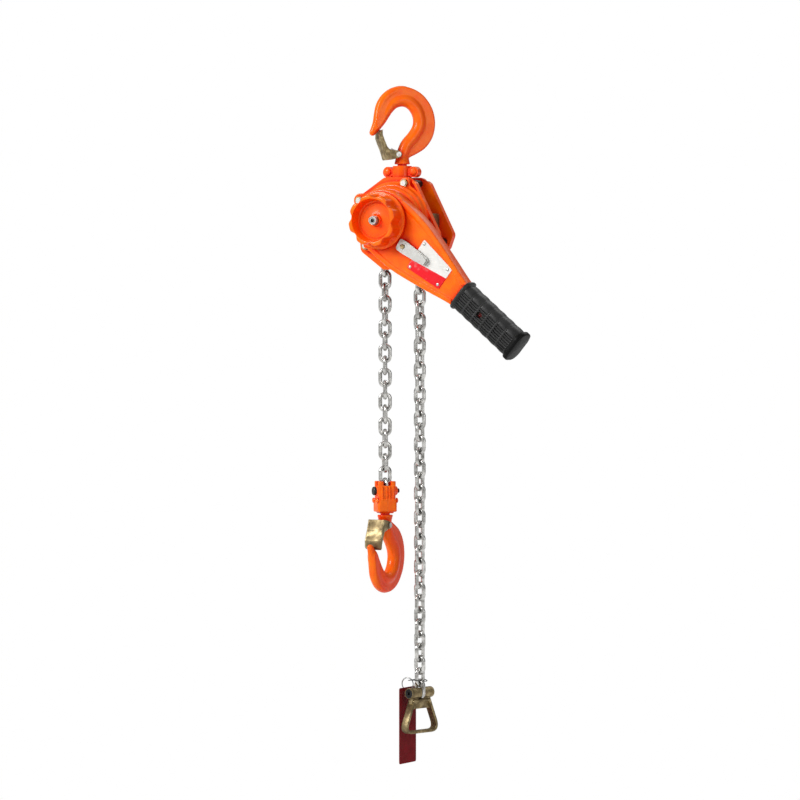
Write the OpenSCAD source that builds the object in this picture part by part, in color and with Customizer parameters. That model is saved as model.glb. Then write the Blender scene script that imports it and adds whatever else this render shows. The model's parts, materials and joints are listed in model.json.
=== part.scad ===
// Chain lever hoist, 1 t size, hanging from its top hook.
// Origin: centre of the top hook's bowl. +Z up; the hand wheel faces -Y; the lever swings in the XZ plane.

/* [Layout] */
// Drop from the top hook's bowl centre to the drive shaft
shaft_drop = 150; // [142:0.5:160]
// Drop from the top hook's bowl centre to the underside of its neck
neck_drop = 66.5; // [64:0.5:69]
// Drop from the top hook's bowl centre to the pin that carries the frame
top_pin_drop = 99; // [97.5:0.25:100]
// Swivel angle of the top hook about the vertical
top_hook_turn = 43; // [0:1:90]
// Angle of the lever below the horizontal
lever_fall = 40; // [0:1:60]

/* [Chain] */
// Inner length of a link
link_pitch = 18; // [17.9:0.02:18.1]
// Wire diameter of a link
link_wire = 5.7; // [5.5:0.05:5.8]
// Outer width of a link
link_width = 20; // [19.6:0.1:20.4]
// Play between one link and the next
link_play = 0.3; // [0.2:0.02:0.35]
// Links between the sheave and the bottom block
load_links = 22; // [12:2:30]
// Links between the sheave and the end ring
tail_links = 39; // [21:2:45]
// Turn of the load fall's last link against its first
load_twist = 48; // [0:1:60]
// Angle by which the chain's joints stand past the horizontal on the sheave
wheel_phase = 10; // [6:0.5:14]

/* [Sheave] */
// Number of pockets in the load sheave
pockets = 5; // [5:1:5]
// Radius of the sheave's flanges
sheave_rim = 33; // [31.5:0.25:34]
// Radius of the sheave's journals
journal_r = 14.5; // [13.5:0.25:15]
// Wall of the bushes that the journals run in
bush_wall = 3.5; // [2.5:0.25:4]
// Play around a link in its pocket
pocket_play = 0.6; // [0.4:0.05:0.9]

/* [Frame] */
// Clear width between the side plates
plate_gap = 36; // [35:0.25:38]
// Thickness of a side plate
plate_t = 4; // [3:0.25:4.5]
// Depth of the turned lip on a side plate
lip_depth = 5; // [3:0.25:6]
// Radius of the stay bolts
stay_r = 4; // [3:0.25:4.5]
// Width across the flats of the stay nuts
nut_across = 11; // [10:0.25:13]
// Thickness of the stay nuts
nut_t = 5; // [4:0.25:6]
// Radius of the pin that carries the frame
top_pin_r = 5; // [4:0.25:5.5]

/* [Gears] */
// Gear module
gear_module = 1.5; // [1.5:0.05:1.55]
// Teeth of each small pinion
pinion_teeth = 12; // [12:1:12]
// Teeth of each large gear
wheel_teeth = 24; // [24:1:24]
// Backlash between meshing teeth
backlash = 0.3; // [0.2:0.02:0.4]
// Width of the gear faces
gear_face = 7.5; // [6.5:0.25:8]
// Direction of the first disc gear, seen from the shaft
disc_gear_at = 20; // [0:1:40]
// Wall of the gear case
case_wall = 2.5; // [2:0.1:3]

/* [Brake] */
// Radius of the drive shaft
shaft_r = 7; // [6.5:0.1:7.5]
// Outer radius of the brake cover's dome
cover_r = 53; // [52.6:0.1:54]
// Depth of the brake cover
cover_depth = 22; // [21.5:0.1:22.5]
// Wall of the brake cover
cover_wall = 2.5; // [2:0.1:2.6]
// Thickness of the lugs that the stay bolts clamp
lug_t = 6; // [5:0.25:7]
// Radius of the brake discs
disc_r = 25; // [23:0.25:26]
// Outer radius of the ratchet disc
ratchet_r = 32; // [31.5:0.1:32.3]
// Teeth of the ratchet disc
ratchet_teeth = 10; // [10:1:10]

/* [Lever] */
// Radius of the lever's head
head_r = 46; // [44:0.5:48]
// Depth of one lever shell
shell_depth = 10.3; // [10:0.1:11]
// Wall of the lever shells
shell_wall = 3; // [2.4:0.1:3.4]
// Distance from the shaft to the grip
grip_from = 167; // [160:1:175]
// Length of the grip
grip_length = 119; // [105:1:130]
// Width of the grip
grip_width = 43; // [40:0.5:46]
// Depth of the grip
grip_depth = 33; // [30:0.5:36]
// Radius of the hole through the grip
grip_hole_r = 4.5; // [3.5:0.25:5]
// Throw of the selector to each side
selector_throw = 25; // [25:1:25]
// Teeth of the change gear
change_teeth = 16; // [16:1:16]

/* [Hand wheel] */
// Radius of the hand wheel's rear flange
wheel_flange_r = 42; // [40:0.5:44]
// Radius of the hand wheel's finger lobes
wheel_lobe_r = 38; // [36:0.5:39.5]
// Depth of the hand wheel
wheel_depth = 28; // [26:0.5:30]
// Number of finger lobes
wheel_lobes = 8; // [6:1:10]
// Travel of the hand wheel when it is pulled out
wheel_pull = 4; // [3:0.25:5]

/* [Hooks] */
// Radius of a hook's neck
neck_r = 11.3; // [11:0.1:11.6]
// Radius of a hook's swivel stem
stem_r = 7; // [6.5:0.1:7.5]
// Radius of the head on the swivel stem
stem_head_r = 10.5; // [10:0.1:10.8]
// Thickness of a hook's web
web_t = 14; // [12:0.5:16]
// Thickness of the bead round a hook's bowl
bead_t = 20; // [18:0.5:21]
// Radius of a hook's bowl
bowl_r = 18; // [17:0.25:18.5]
// Radius of the pin of a hook's latch
latch_pin_r = 2.5; // [2:0.1:2.8]
// Wall of a latch
latch_wall = 1.8; // [1.4:0.1:2]

/* [Bottom block] */
// Width of the bottom block along its chain pin
block_w = 30; // [29:0.5:34]
// Depth of the bottom block
block_d = 25; // [24.5:0.25:28]
// Height of the bottom block
block_h = 48; // [47:0.25:50]
// Radius of the chain pin
chain_pin_r = 4; // [3.7:0.05:4.1]
// Direction that the bottom hook's back points in
bottom_hook_turn = 89; // [0:1:180]

/* [End ring] */
// Length of the end ring's tube
tube_l = 50; // [46:0.5:56]
// Outer radius of the end ring's tube
tube_r = 8; // [7.4:0.1:9]
// Width of the end ring at its base
ring_base = 76; // [70:1:84]
// Height of the end ring from its pin to its base
ring_drop = 57; // [52:0.5:64]
// Width of the flat bar of the end ring
bar_w = 12; // [10:0.5:14]
// Thickness of the flat bar of the end ring
bar_t = 4; // [3.5:0.25:4.5]
// Turn of the end ring's pin from the fore-and-aft line
ring_turn = -13; // [-20:1:0]
// Height of the tag
tag_h = 112; // [100:1:120]
// Width of the tag
tag_w = 52; // [34:1:56]

/* [Fits] */
// Radial clearance of a running fit
run_fit = 0.08; // [0.03:0.01:0.1]
// Clearance between parts that only pass each other
clear = 0.3; // [0.25:0.01:0.4]
// Clearance of a part that is fixed in its seat
seat_fit = 0.02; // [0.01:0.005:0.04]

/* [Hidden] */
$fn = 64;

// Colours
orange = [0.95, 0.36, 0.08];
deep_orange = [0.85, 0.27, 0.05];
zinc = [0.80, 0.81, 0.82];
yellow_zinc = [0.72, 0.60, 0.33];
steel = [0.55, 0.56, 0.58];
dark_steel = [0.25, 0.26, 0.28];
rubber = [0.07, 0.07, 0.08];
bronze = [0.62, 0.45, 0.22];
dark_red = [0.45, 0.05, 0.06];

// Heights and levels that the pieces share
shaft_z = -shaft_drop;
plate_in = plate_gap / 2;
plate_out = plate_in + plate_t;

// ---- Helpers ----

function polar(r, a) = [r * cos(a), r * sin(a)];
function unit(v) = v / norm(v);
function short_way(d) = d > 180 ? d - 360 : d < -180 ? d + 360 : d;

// Points of the arc that rounds corner b between a and c
function corner(a, b, c, r, n) =
    let (
        u = unit(a - b),
        v = unit(c - b),
        half = acos(max(-1, min(1, u * v))) / 2,
        run = r / tan(half),
        middle = b + unit(u + v) * r / sin(half),
        from = b + u * run - middle,
        to = b + v * run - middle,
        start = atan2(from[1], from[0]),
        sweep = short_way(atan2(to[1], to[0]) - start)
    ) [for (k = [0:n]) middle + polar(r, start + sweep * k / n)];

// A closed outline with every corner rounded to radius r
function rounded(points, r, n = 6) =
    let (count = len(points))
    [for (i = [0:count - 1])
        each corner(points[(i + count - 1) % count], points[i], points[(i + 1) % count], r, n)];

// A closed smooth curve through the points, n steps between each two
function smooth(points, n = 5) =
    let (count = len(points))
    [for (i = [0:count - 1], k = [0:n - 1])
        let (
            a = points[(i + count - 1) % count],
            b = points[i],
            c = points[(i + 1) % count],
            d = points[(i + 2) % count],
            t = k / n
        )
        b + (c - a) * t / 2 + (a * 2 - b * 5 + c * 4 - d) * t * t / 2
            + (b * 3 - a - c * 3 + d) * t * t * t / 2];

// Outline drawn in XZ, raised from y0 to y1
module slab(y0, y1) {
    translate([0, y1, 0])
    rotate([90, 0, 0])
    linear_extrude(y1 - y0) children();
}

// Round bar along Y, from y0 to y1
module bar_y(r, y0, y1) {
    translate([0, y1, 0])
    rotate([90, 0, 0])
    cylinder(r = r, h = y1 - y0);
}

// Tube along Y, from y0 to y1
module tube_y(r_out, r_in, y0, y1) {
    difference() {
        bar_y(r_out, y0, y1);
        bar_y(r_in, y0 - 1, y1 + 1);
    }
}

// Hexagon bar along Y, from y0 to y1
module hex_y(across, y0, y1) {
    translate([0, y1, 0])
    rotate([90, 0, 0])
    cylinder(r = across / 2 / cos(30), h = y1 - y0, $fn = 6);
}

// Moves to a place in XZ
module at(p) {
    translate([p[0], 0, p[1]]) children();
}

// Moves to the drive shaft's axis
module at_shaft() {
    translate([0, 0, shaft_z]) children();
}

// Moves to the lever's own frame: +X runs from the shaft to the grip
module at_lever() {
    at_shaft() rotate([0, lever_fall, 0]) children();
}

// ---- Derived places, all from the shaft's axis unless said otherwise ----

link_inner = (link_pitch + link_play) / 2;
link_outer = link_inner + link_wire;
link_apex = link_inner + link_wire / 2;
bow_r = (link_width - link_wire) / 2;

// On the sheave: flat links lie in the pockets, and the standing links hang between their bows
half_step = 90 / pockets;
flat_r = (link_inner - link_wire / 2 - 0.08 + link_apex * cos(2 * half_step)) / sin(2 * half_step);
stand_r = flat_r * cos(2 * half_step) + link_apex * sin(2 * half_step);
load_lean = half_step - wheel_phase;
tail_lean = half_step + wheel_phase;
fall_x = flat_r * cos(load_lean) + link_apex * sin(load_lean);
tail_x = flat_r * cos(tail_lean) + link_apex * sin(tail_lean) - 0.3;
load_top_z = shaft_z + flat_r * sin(load_lean) - link_apex * cos(load_lean) + link_apex - link_pitch / 2;
tail_top_z = shaft_z + flat_r * sin(tail_lean) - link_apex * cos(tail_lean) + link_apex - link_pitch / 2;
load_end_z = load_top_z - (load_links - 0.5) * link_pitch;
tail_end_z = tail_top_z - (tail_links - 0.5) * link_pitch;

// Stay bolts: A, B and C also hold the covers
stay_a = [-49, 30];
stay_b = [19.3, 55];
stay_c = [-45, -36];
stay_d = [-12, -60];
stay_e = [60, -30];
roller_at = [-fall_x - link_width / 2 - 8.5, -12];
cover_stays = [stay_a, stay_b, stay_c];
frame_stays = [stay_d, stay_e];
plate_outline = [[-18, 64], [22, 64], [36, 56], [75, -20], [67, -41], [16, -71], [-20, -71], [-57, -44], [-62, 0], [-58, 38]];
top_pin_at = [0, shaft_drop - top_pin_drop];
spacer_r = stay_r + 1.5;
lug_r = nut_across / 2 + 3;
boss_depth = 11.5;

// Levels along Y, front to rear
hub_front = -plate_out - 6.5;
friction_t = 2.4;
brake_gap = 0.2;
ratchet_front = hub_front - friction_t - brake_gap - 4;
clamp_face = ratchet_front - brake_gap - friction_t;
cover_front = -plate_out - cover_depth;
lever_back = cover_front - 2;
lever_mid = lever_back - shell_depth;
lever_front_y = lever_mid - shell_depth;
wheel_back = lever_front_y - 2.4;
wheel_front = wheel_back - wheel_depth;
load_gear_y = plate_out + 2.5;
wheel_gear_y = load_gear_y + gear_face + 2;
case_end = wheel_gear_y + gear_face + 2.5;
front_r = shaft_r - 2;
wheel_hub_front = wheel_front + 12;
nut_back = wheel_hub_front - wheel_pull - 0.5;
end_nut_t = 3.6;
end_nut_r = 6.4;
end_bore_r = 2.9;

// Gears
pinion_r = gear_module * pinion_teeth / 2;
wheel_r = gear_module * wheel_teeth / 2;
gear_centres = pinion_r + wheel_r;
addendum = 0.8 * gear_module;
dedendum = gear_module;
case_r = gear_centres + wheel_r + addendum + 1.3 + case_wall;
disc_journal_r = 4;
end_journal_r = 5;

// Brake
pawl_pin_r = 3;
pawl_pivot_r = ratchet_r + 12;
pawl_back = 40;
pawl_faces = [100, 280];
ratchet_step = 360 / ratchet_teeth;
change_hub_r = 15;
hub_r = 12;
change_tip_r = 28;
change_root_r = 25;

// Lever, in its own frame
selector_at = [54, -4];
selector_tilt = 8.7;
selector_hub_r = 7;
selector_lift = 1.6;
selector_t = 3.4;
selector_reach = norm(selector_at);
selector_back = atan2(selector_at[1], selector_at[0]);
pawl_reach = selector_reach - change_root_r - 0.4;
pawl_y = lever_mid - 3;
tang_half = 14;
tang_depth = 2 * shell_depth - 2 * shell_wall;
lever_profile = [[0, head_r], [40, head_r], [77, head_r - 4.5], [130, 29.5], [grip_from, 20]];
lever_screws_at = [[5, 43], [5, -43], [148, 0]];
plate_corners = [[73, 25], [136, 20.5], [137, -15], [77, -24.5]];
plate_rivets_at = [[77.5, 20], [130.5, 16], [80.5, -20.5], [131.5, -11]];
grip_hole_at = 213;
grip_bands = 6;
band_pitch = (grip_length - 12.8) / grip_bands;

// Hooks, in a hook's own frame: bowl at the origin, neck down, mouth to -X
latch_at = [-9, -52];
stem_in = 12.5;
head_t = 5;
hook_gap = 2.5;
hook_edge = [
    [8, -56], [22, -50.5], [34, -42.5], [44, -29], [49, -13], [48.5, 3], [43, 19], [31.5, 34.5],
    [17.5, 44], [2.5, 48.5], [-10, 47], [-21, 42], [-31.5, 33], [-39.5, 21], [-43.5, 4], [-46, -8],
    [-49.5, -18.5], [-46.5, -24], [-40, -20.5], [-33, -13], [-26, -3.5], [-18.5, 5], [-11, 14.3],
    [-1, bowl_r], [9, 15.5], [16, 7], [17, -4], [14.5, -16], [6, -27.5], [-5, -38], [-7, -50], [0, -57]
];
latch_side = [[-32, -14], [-37, -19], [-37.5, -30], [-31, -45], [-26, -61], [-19, -60], [-9, -57.5], [-3.5, -52], [-9, -46.5], [-24, -38]];
latch_face = [
    [-32.6, -18.2], [-36.4, -24], [-37.2, -30], [-30.7, -45], [-25.9, -60.2],
    [-24.1, -59.6], [-28.9, -44.5], [-35.3, -29.7], [-34.6, -24.6], [-31.2, -19.4]
];
ear_in = neck_r + clear;
ear_out = ear_in + latch_wall;

// Yoke and bottom block
yoke_top = -neck_drop - hook_gap;
ear_x = 21;
ear_z = -neck_drop - 11.5;
ear_r = 8;
yoke_body_r = 14;
chain_pin_z = load_end_z - link_inner + chain_pin_r + link_play / 2;
block_top = chain_pin_z + 15;
block_bottom = block_top - block_h;
bottom_bowl_z = block_bottom - hook_gap - neck_drop;
rivet_r = 2.5;

// End ring
tail_pin_r = 4;
tail_pin_z = tail_end_z - link_inner + tail_pin_r + link_play / 2;
ring_slot = link_wire + 1.5;
tag_x = 9;
loop_z = tail_pin_z + 19;
tag_ring_r = 9.2;
tag_ring_z = loop_z - 7;
cord_r = 0.8;
cord_loop_r = 15;
cord_x = tag_x + 2 + cord_loop_r;
tag_hole_r = 2.2;
tag_hole_z = tag_ring_z - tag_ring_r - tag_hole_r + cord_r + 0.1;

// ---- Chain ----

// One link standing in XZ
module link() {
    straight = 2 * link_inner + link_wire - 2 * bow_r;
    for (side = [0, 1])
        mirror([0, 0, side])
        translate([0, 0, straight / 2])
        rotate([90, 0, 0])
        rotate_extrude(angle = 180)
        translate([bow_r, 0]) circle(link_wire / 2);
    for (side = [-1, 1])
        translate([side * bow_r, 0, -straight / 2])
        cylinder(r = link_wire / 2, h = straight);
}

// A fall of links that hangs from the wheel, its last link turned by twist
module fall(x, top_z, count, twist) {
    for (k = [0:count - 1])
        translate([x, 0, top_z - (k + 0.5) * link_pitch])
        rotate([0, 0, (k % 2) * 90 + twist * k / (count - 1)])
        link();
}

module chain_load_fall() {
    color(zinc) fall(-fall_x, load_top_z, load_links, load_twist);
}

module chain_tail_fall() {
    color(zinc) fall(tail_x, tail_top_z, tail_links, ring_turn);
}

module chain_wrap() {
    color(zinc)
    at_shaft()
    for (k = [0:pockets - 1])
        rotate([0, -(wheel_phase + (2 * k + 1) * half_step), 0])
        translate([k % 2 == 0 ? flat_r : stand_r, 0, 0])
        rotate([0, 0, ((k + 1) % 2) * 90])
        link();
}

// ---- Hooks and latches ----

// Straight round rod in XZ, tapering from ra at a to rb at b
module rod(a, b, ra, rb) {
    way = b - a;
    at(a)
    rotate([0, atan2(way[0], way[1]), 0])
    cylinder(r1 = ra, r2 = rb, h = norm(way));
}

// Solid metal of a hook with its neck down and its mouth to -X
module hook_blank() {
    bead = bead_t / 2;
    ring = bowl_r + bead;
    slab(-web_t / 2, web_t / 2) polygon(smooth(hook_edge, 3));
    translate([-1, 0, 0])
    rotate([90, 0, 0])
    rotate([0, 0, -35])
    rotate_extrude(angle = 195)
    translate([ring, 0]) circle(bead);
    rod(polar(ring, -33) - [1, 0], [1, -50], bead - 0.4, bead - 0.2);
    rod(polar(ring, 158) - [1, 0], [-42, -17], bead - 0.6, web_t / 2 + 0.3);
    translate([0, 0, -neck_drop]) cylinder(r = neck_r, h = neck_drop - 46);
    translate([0, 0, -neck_drop - stem_in]) cylinder(r = stem_r, h = stem_in + 1);
    translate([0, 0, -neck_drop - stem_in - head_t]) cylinder(r = stem_head_r, h = head_t);
}

// Hook with the flats and the bore for its latch
module hook() {
    difference() {
        hook_blank();
        for (side = [0, 1])
            mirror([0, side, 0])
            translate([latch_at[0] - 9, web_t / 2, latch_at[1] - 6])
            cube([14.5, 12, 13]);
        at(latch_at) bar_y(latch_pin_r + seat_fit, -12, 12);
    }
}

// Latch of a hook: two ears on the pin and a face that closes the mouth
module latch() {
    difference() {
        for (side = [0, 1])
            mirror([0, side, 0])
            slab(ear_in, ear_out) polygon(rounded(latch_side, 1.2, 3));
        at(latch_at) bar_y(latch_pin_r + run_fit, -ear_out - 1, ear_out + 1);
    }
    slab(-ear_in - 0.2, ear_in + 0.2) polygon(latch_face);
}

// Pin of a latch with its two peened heads
module latch_pin() {
    at(latch_at) {
        bar_y(latch_pin_r, -ear_out, ear_out);
        bar_y(latch_pin_r + 1.2, -ear_out - 1.3, -ear_out);
        bar_y(latch_pin_r + 1.2, ear_out, ear_out + 1.3);
    }
}

// Coils round the pin of a latch, between the hook's flats and the ears
module latch_spring() {
    for (side = [0, 1])
        mirror([0, side, 0])
        at(latch_at)
        tube_y(latch_pin_r + 1.9, latch_pin_r + clear, web_t / 2 + clear, ear_in - clear);
}

module at_top_hook() {
    rotate([0, 0, top_hook_turn]) children();
}

module at_bottom_hook() {
    translate([-fall_x, 0, bottom_bowl_z])
    rotate([0, 0, bottom_hook_turn])
    rotate([180, 0, 0])
    children();
}

module top_hook() {
    color(orange) at_top_hook() hook();
}

module top_latch() {
    color(yellow_zinc) at_top_hook() latch();
}

module top_latch_pin() {
    color(zinc) at_top_hook() latch_pin();
}

module top_latch_spring() {
    color(steel) at_top_hook() latch_spring();
}

module bottom_hook() {
    color(orange) at_bottom_hook() hook();
}

module bottom_latch() {
    color(yellow_zinc) at_bottom_hook() latch();
}

module bottom_latch_pin() {
    color(zinc) at_bottom_hook() latch_pin();
}

module bottom_latch_spring() {
    color(steel) at_bottom_hook() latch_spring();
}

// ---- Yoke that the top hook swivels in ----

// Room for a hook's stem and its head; the neck's shoulder is at z = 0 and the stem points up
module stem_room() {
    translate([0, 0, hook_gap - 1]) cylinder(r = stem_r + run_fit, h = stem_in);
    translate([0, 0, stem_in - clear]) cylinder(r = stem_head_r + clear, h = head_t + 2 * clear);
}

module yoke_solid() {
    low = -neck_drop - 20.5;
    translate([0, 0, low]) cylinder(r = yoke_body_r, h = yoke_top - low);
    slab(-9, 9)
    polygon([[-12, low + 6], [12, low + 6], [9, low - 2], [9, -top_pin_drop], [-9, -top_pin_drop], [-9, low - 2]]);
    at([0, -top_pin_drop]) bar_y(9, -9, 9);
    for (x = [-ear_x, ear_x]) at([x, ear_z]) bar_y(ear_r, -5.8, 5.8);
    slab(-5.8, 5.8)
    polygon([[-ear_x, ear_z + 5], [ear_x, ear_z + 5], [ear_x, ear_z - 6], [-ear_x, ear_z - 6]]);
}

// One half of the yoke; side is -1 at the front and 0 at the rear
module yoke_half(side) {
    difference() {
        intersection() {
            yoke_solid();
            translate([-40, 40 * side, -140]) cube([80, 40, 80]);
        }
        translate([0, 0, -neck_drop]) rotate([180, 0, 0]) stem_room();
        at([0, -top_pin_drop]) bar_y(top_pin_r + run_fit, -20, 20);
        for (x = [-ear_x, ear_x]) at([x, ear_z]) bar_y(3.5 + seat_fit, -20, 20);
    }
}

module yoke_front() {
    color(orange) yoke_half(-1);
}

module yoke_rear() {
    color(orange) yoke_half(0);
}

// Rivet along Y with a domed head at each end
module rivet_y(r, half) {
    bar_y(r, -half, half);
    for (side = [0, 1])
        mirror([0, side, 0])
        translate([0, half, 0])
        spin_y() polygon([[0, 0], [r * 1.6, 0], [r * 1.55, r * 0.3], [r * 1.2, r * 0.62], [r * 0.7, r * 0.8], [0, r * 0.86]]);
}

module yoke_rivets() {
    color(orange)
    for (x = [-ear_x, ear_x]) at([x, ear_z]) rivet_y(3.5, 5.8);
}

module top_pin() {
    color(steel) at([0, -top_pin_drop]) bar_y(top_pin_r, -plate_out + 0.5, plate_out - 0.5);
}

// ---- Frame ----

// Outline drawn smaller by w along every edge
function inset(points, w) =
    let (count = len(points))
    [for (i = [0:count - 1])
        let (
            u = unit(points[(i + count - 1) % count] - points[i]),
            v = unit(points[(i + 1) % count] - points[i])
        )
        points[i] + unit(u + v) * w / sin(acos(u * v) / 2)];

// Bores of a side plate; side is -1 at the front and 1 at the rear
module plate_bores(side) {
    bar_y(journal_r + bush_wall + seat_fit, 0, 60);
    for (p = concat(cover_stays, frame_stays, [roller_at])) at(p) bar_y(stay_r + seat_fit, 0, 60);
    at(top_pin_at) bar_y(top_pin_r + seat_fit, 0, 60);
    if (side > 0)
        for (turn = [0, 180]) at(polar(gear_centres, disc_gear_at + turn)) bar_y(disc_journal_r + run_fit, 0, 60);
    if (side < 0)
        for (face = pawl_faces) at(polar(pawl_pivot_r, face - pawl_back)) bar_y(pawl_pin_r + seat_fit, 0, 60);
}

// Side plate with its turned lip, drawn on the rear side
module side_plate(side) {
    difference() {
        slab(plate_in, plate_out) polygon(rounded(plate_outline, 9));
        plate_bores(side);
    }
    intersection() {
        difference() {
            slab(plate_out - 0.5, plate_out + lip_depth) polygon(rounded(plate_outline, 9));
            slab(plate_out - 1, plate_out + lip_depth + 1) polygon(rounded(inset(plate_outline, 3), 6));
        }
        translate([31, 0, -80]) cube([60, 60, 160]);
    }
}

module side_plate_front() {
    color(orange) at_shaft() mirror([0, 1, 0]) side_plate(-1);
}

module side_plate_rear() {
    color(orange) at_shaft() side_plate(1);
}

// How far a cover's lug stands out from the side plate at stay p
function lug_depth(p) = lug_t + (p == stay_a ? boss_depth : 0);

module stay_bolts() {
    over = nut_t + 0.8;
    color(zinc)
    at_shaft() {
        for (p = cover_stays)
            at(p) bar_y(stay_r, -plate_out - lug_depth(p) - over, plate_out + lug_t + over);
        for (p = frame_stays)
            at(p) bar_y(stay_r, -plate_out - over, plate_out + over);
        at(roller_at) bar_y(stay_r, -plate_out + 0.3, plate_out - 0.3);
    }
}

// Hexagon nut along Y that stands out by its thickness from depth, towards +Y
module nut_y(depth) {
    difference() {
        intersection() {
            hex_y(nut_across, depth, depth + nut_t);
            spin_y() polygon([[0, depth], [9, depth], [9, depth + nut_t - 2.2], [nut_across / 2, depth + nut_t], [0, depth + nut_t]]);
        }
        bar_y(stay_r + seat_fit, depth - 1, depth + nut_t + 1);
    }
}

module stay_nuts() {
    color(yellow_zinc)
    at_shaft() {
        for (p = cover_stays) at(p) {
            mirror([0, 1, 0]) nut_y(plate_out + lug_depth(p));
            nut_y(plate_out + lug_t);
        }
        for (p = frame_stays) at(p) {
            mirror([0, 1, 0]) nut_y(plate_out);
            nut_y(plate_out);
        }
    }
}

module stay_spacers() {
    color(dark_steel)
    at_shaft()
    for (p = concat(cover_stays, frame_stays))
        at(p) tube_y(spacer_r, stay_r + seat_fit, -plate_in, plate_in);
}

// Turned part about the Y axis, from a profile drawn as (radius, y)
module spin_y() {
    rotate([-90, 0, 0]) rotate_extrude() children();
}

module gear_case() {
    inner = case_r - case_wall;
    flange = plate_out + case_wall;
    end = case_end + case_wall;
    color(orange)
    at_shaft()
    difference() {
        union() {
            spin_y() polygon([
                [inner, plate_out], [case_r + 3, plate_out], [case_r + 3, flange], [case_r, flange],
                [case_r, case_end - 3], [case_r - 4, end], [0, end], [0, case_end], [inner, case_end]
            ]);
            difference() {
                for (p = cover_stays) at(p) bar_y(lug_r, plate_out, plate_out + lug_t);
                bar_y(inner + 1, plate_out - 1, end);
            }
            bar_y(end_journal_r + 5, case_end, case_end + 6);
            for (turn = [0, 180])
                at(polar(gear_centres, disc_gear_at + turn)) bar_y(disc_journal_r + 4, case_end, case_end + 5);
        }
        for (p = cover_stays) at(p) bar_y(stay_r + seat_fit, 0, 60);
        bar_y(end_journal_r + run_fit, case_end - 1, case_end + 4);
        for (turn = [0, 180])
            at(polar(gear_centres, disc_gear_at + turn)) bar_y(disc_journal_r + run_fit, case_end - 1, case_end + 3.5);
    }
}

module brake_cover() {
    inner = cover_r - cover_wall;
    hole = change_hub_r + 2;
    color(orange)
    at_shaft()
    difference() {
        union() {
            spin_y() polygon([
                [inner, -plate_out], [cover_r, -plate_out], [cover_r, cover_front + 8], [cover_r - 3.5, cover_front + 2],
                [cover_r - 7, cover_front], [hole, cover_front], [hole, cover_front + cover_wall],
                [cover_r - 8.5, cover_front + cover_wall], [cover_r - 5.5, cover_front + 4.2], [inner, cover_front + 8.5]
            ]);
            difference() {
                for (p = cover_stays) at(p) bar_y(lug_r, -plate_out - lug_depth(p), -plate_out);
                spin_y() polygon([
                    [0, 0], [inner + 1, 0], [inner + 1, cover_front + 8], [cover_r - 5, cover_front + 3],
                    [cover_r - 8, cover_front + 1], [0, cover_front + 1]
                ]);
            }
        }
        for (p = cover_stays) at(p) {
            bar_y(stay_r + seat_fit, -60, 0);
            bar_y(nut_across / 2 / cos(30) + clear, -60, -plate_out - lug_depth(p));
        }
    }
}

module chain_guide() {
    color(yellow_zinc)
    at_shaft()
    intersection() {
        tube_y(52.5, 50, -plate_in, plate_in);
        slab(-plate_in - 1, plate_in + 1) polygon([[0, 0], polar(90, -26), polar(90, 12)]);
    }
}

module chain_stripper() {
    color(dark_steel)
    at_shaft()
    difference() {
        slab(-2.8, 2.8)
        polygon(rounded([[-3, -19], [3, -19], [5, -34], [15, -44], [13, -52], [-2, -68], [-17.5, -67], [-17.5, -52], [-15, -44], [-5, -34]], 2, 3));
        at(stay_d) bar_y(spacer_r + seat_fit, -10, 10);
    }
}

module guide_roller() {
    end = plate_in - clear;
    color(steel)
    at_shaft()
    at(roller_at)
    spin_y() polygon([
        [stay_r + run_fit, -end], [7.6, -end], [7.6, -6], [6.6, -4], [6.6, 4], [7.6, 6], [7.6, end], [stay_r + run_fit, end]
    ]);
}

// ---- Sheave and gears ----

module load_sheave() {
    groove_r = stand_r - link_width / 2 - 0.8;
    groove_w = link_wire / 2 + pocket_play;
    pocket_w = link_width / 2 + pocket_play;
    pocket_l = link_outer + pocket_play;
    side = plate_in - clear;
    gear_to = load_gear_y + gear_face;
    color(steel)
    at_shaft()
    difference() {
        spin_y() polygon([
            [shaft_r + run_fit, -plate_out], [journal_r, -plate_out], [journal_r, -side],
            [sheave_rim - 7, -side], [sheave_rim, -side + 4], [sheave_rim, -groove_w - 3],
            [sheave_rim - 3, -groove_w], [groove_r, -groove_w], [groove_r, groove_w], [sheave_rim - 3, groove_w],
            [sheave_rim, groove_w + 3], [sheave_rim, side - 4], [sheave_rim - 7, side],
            [journal_r, side], [journal_r, plate_out + 1], [11, plate_out + 1], [11, gear_to], [shaft_r + run_fit, gear_to]
        ]);
        for (k = [0:pockets - 1])
            rotate([0, -wheel_phase - half_step - k * 360 / pockets, 0])
            translate([flat_r - link_wire / 2 - 0.3, -pocket_w, -pocket_l])
            cube([20, 2 * pocket_w, 2 * pocket_l]);
    }
}

module sheave_bushes() {
    color(bronze)
    at_shaft() {
        tube_y(journal_r + bush_wall, journal_r + run_fit, -plate_out, -plate_in);
        tube_y(journal_r + bush_wall, journal_r + run_fit, plate_in, plate_out);
    }
}

function involute(r, base) = r <= base ? 0 : tan(acos(base / r)) * 180 / PI - acos(base / r);

// Gear outline with one tooth in the direction of phase
function gear_outline(teeth, phase) =
    let (
        pitch = gear_module * teeth / 2,
        base = pitch * cos(20),
        root = pitch - dedendum,
        low = max(root, base),
        rise = (pitch + addendum - low) / 4,
        half = 90 / teeth - backlash / 4 / pitch * 180 / PI + involute(pitch, base)
    )
    [for (t = [0:teeth - 1])
        let (mid = phase + t * 360 / teeth)
        each concat(
            [polar(root, mid - half)],
            [for (i = [0:4]) polar(low + rise * i, mid - half + involute(low + rise * i, base))],
            [for (i = [4:-1:0]) polar(low + rise * i, mid + half - involute(low + rise * i, base))],
            [polar(root, mid + half)]
        )];

module gear(teeth, phase, y0) {
    slab(y0, y0 + gear_face) polygon(gear_outline(teeth, phase));
}

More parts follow.
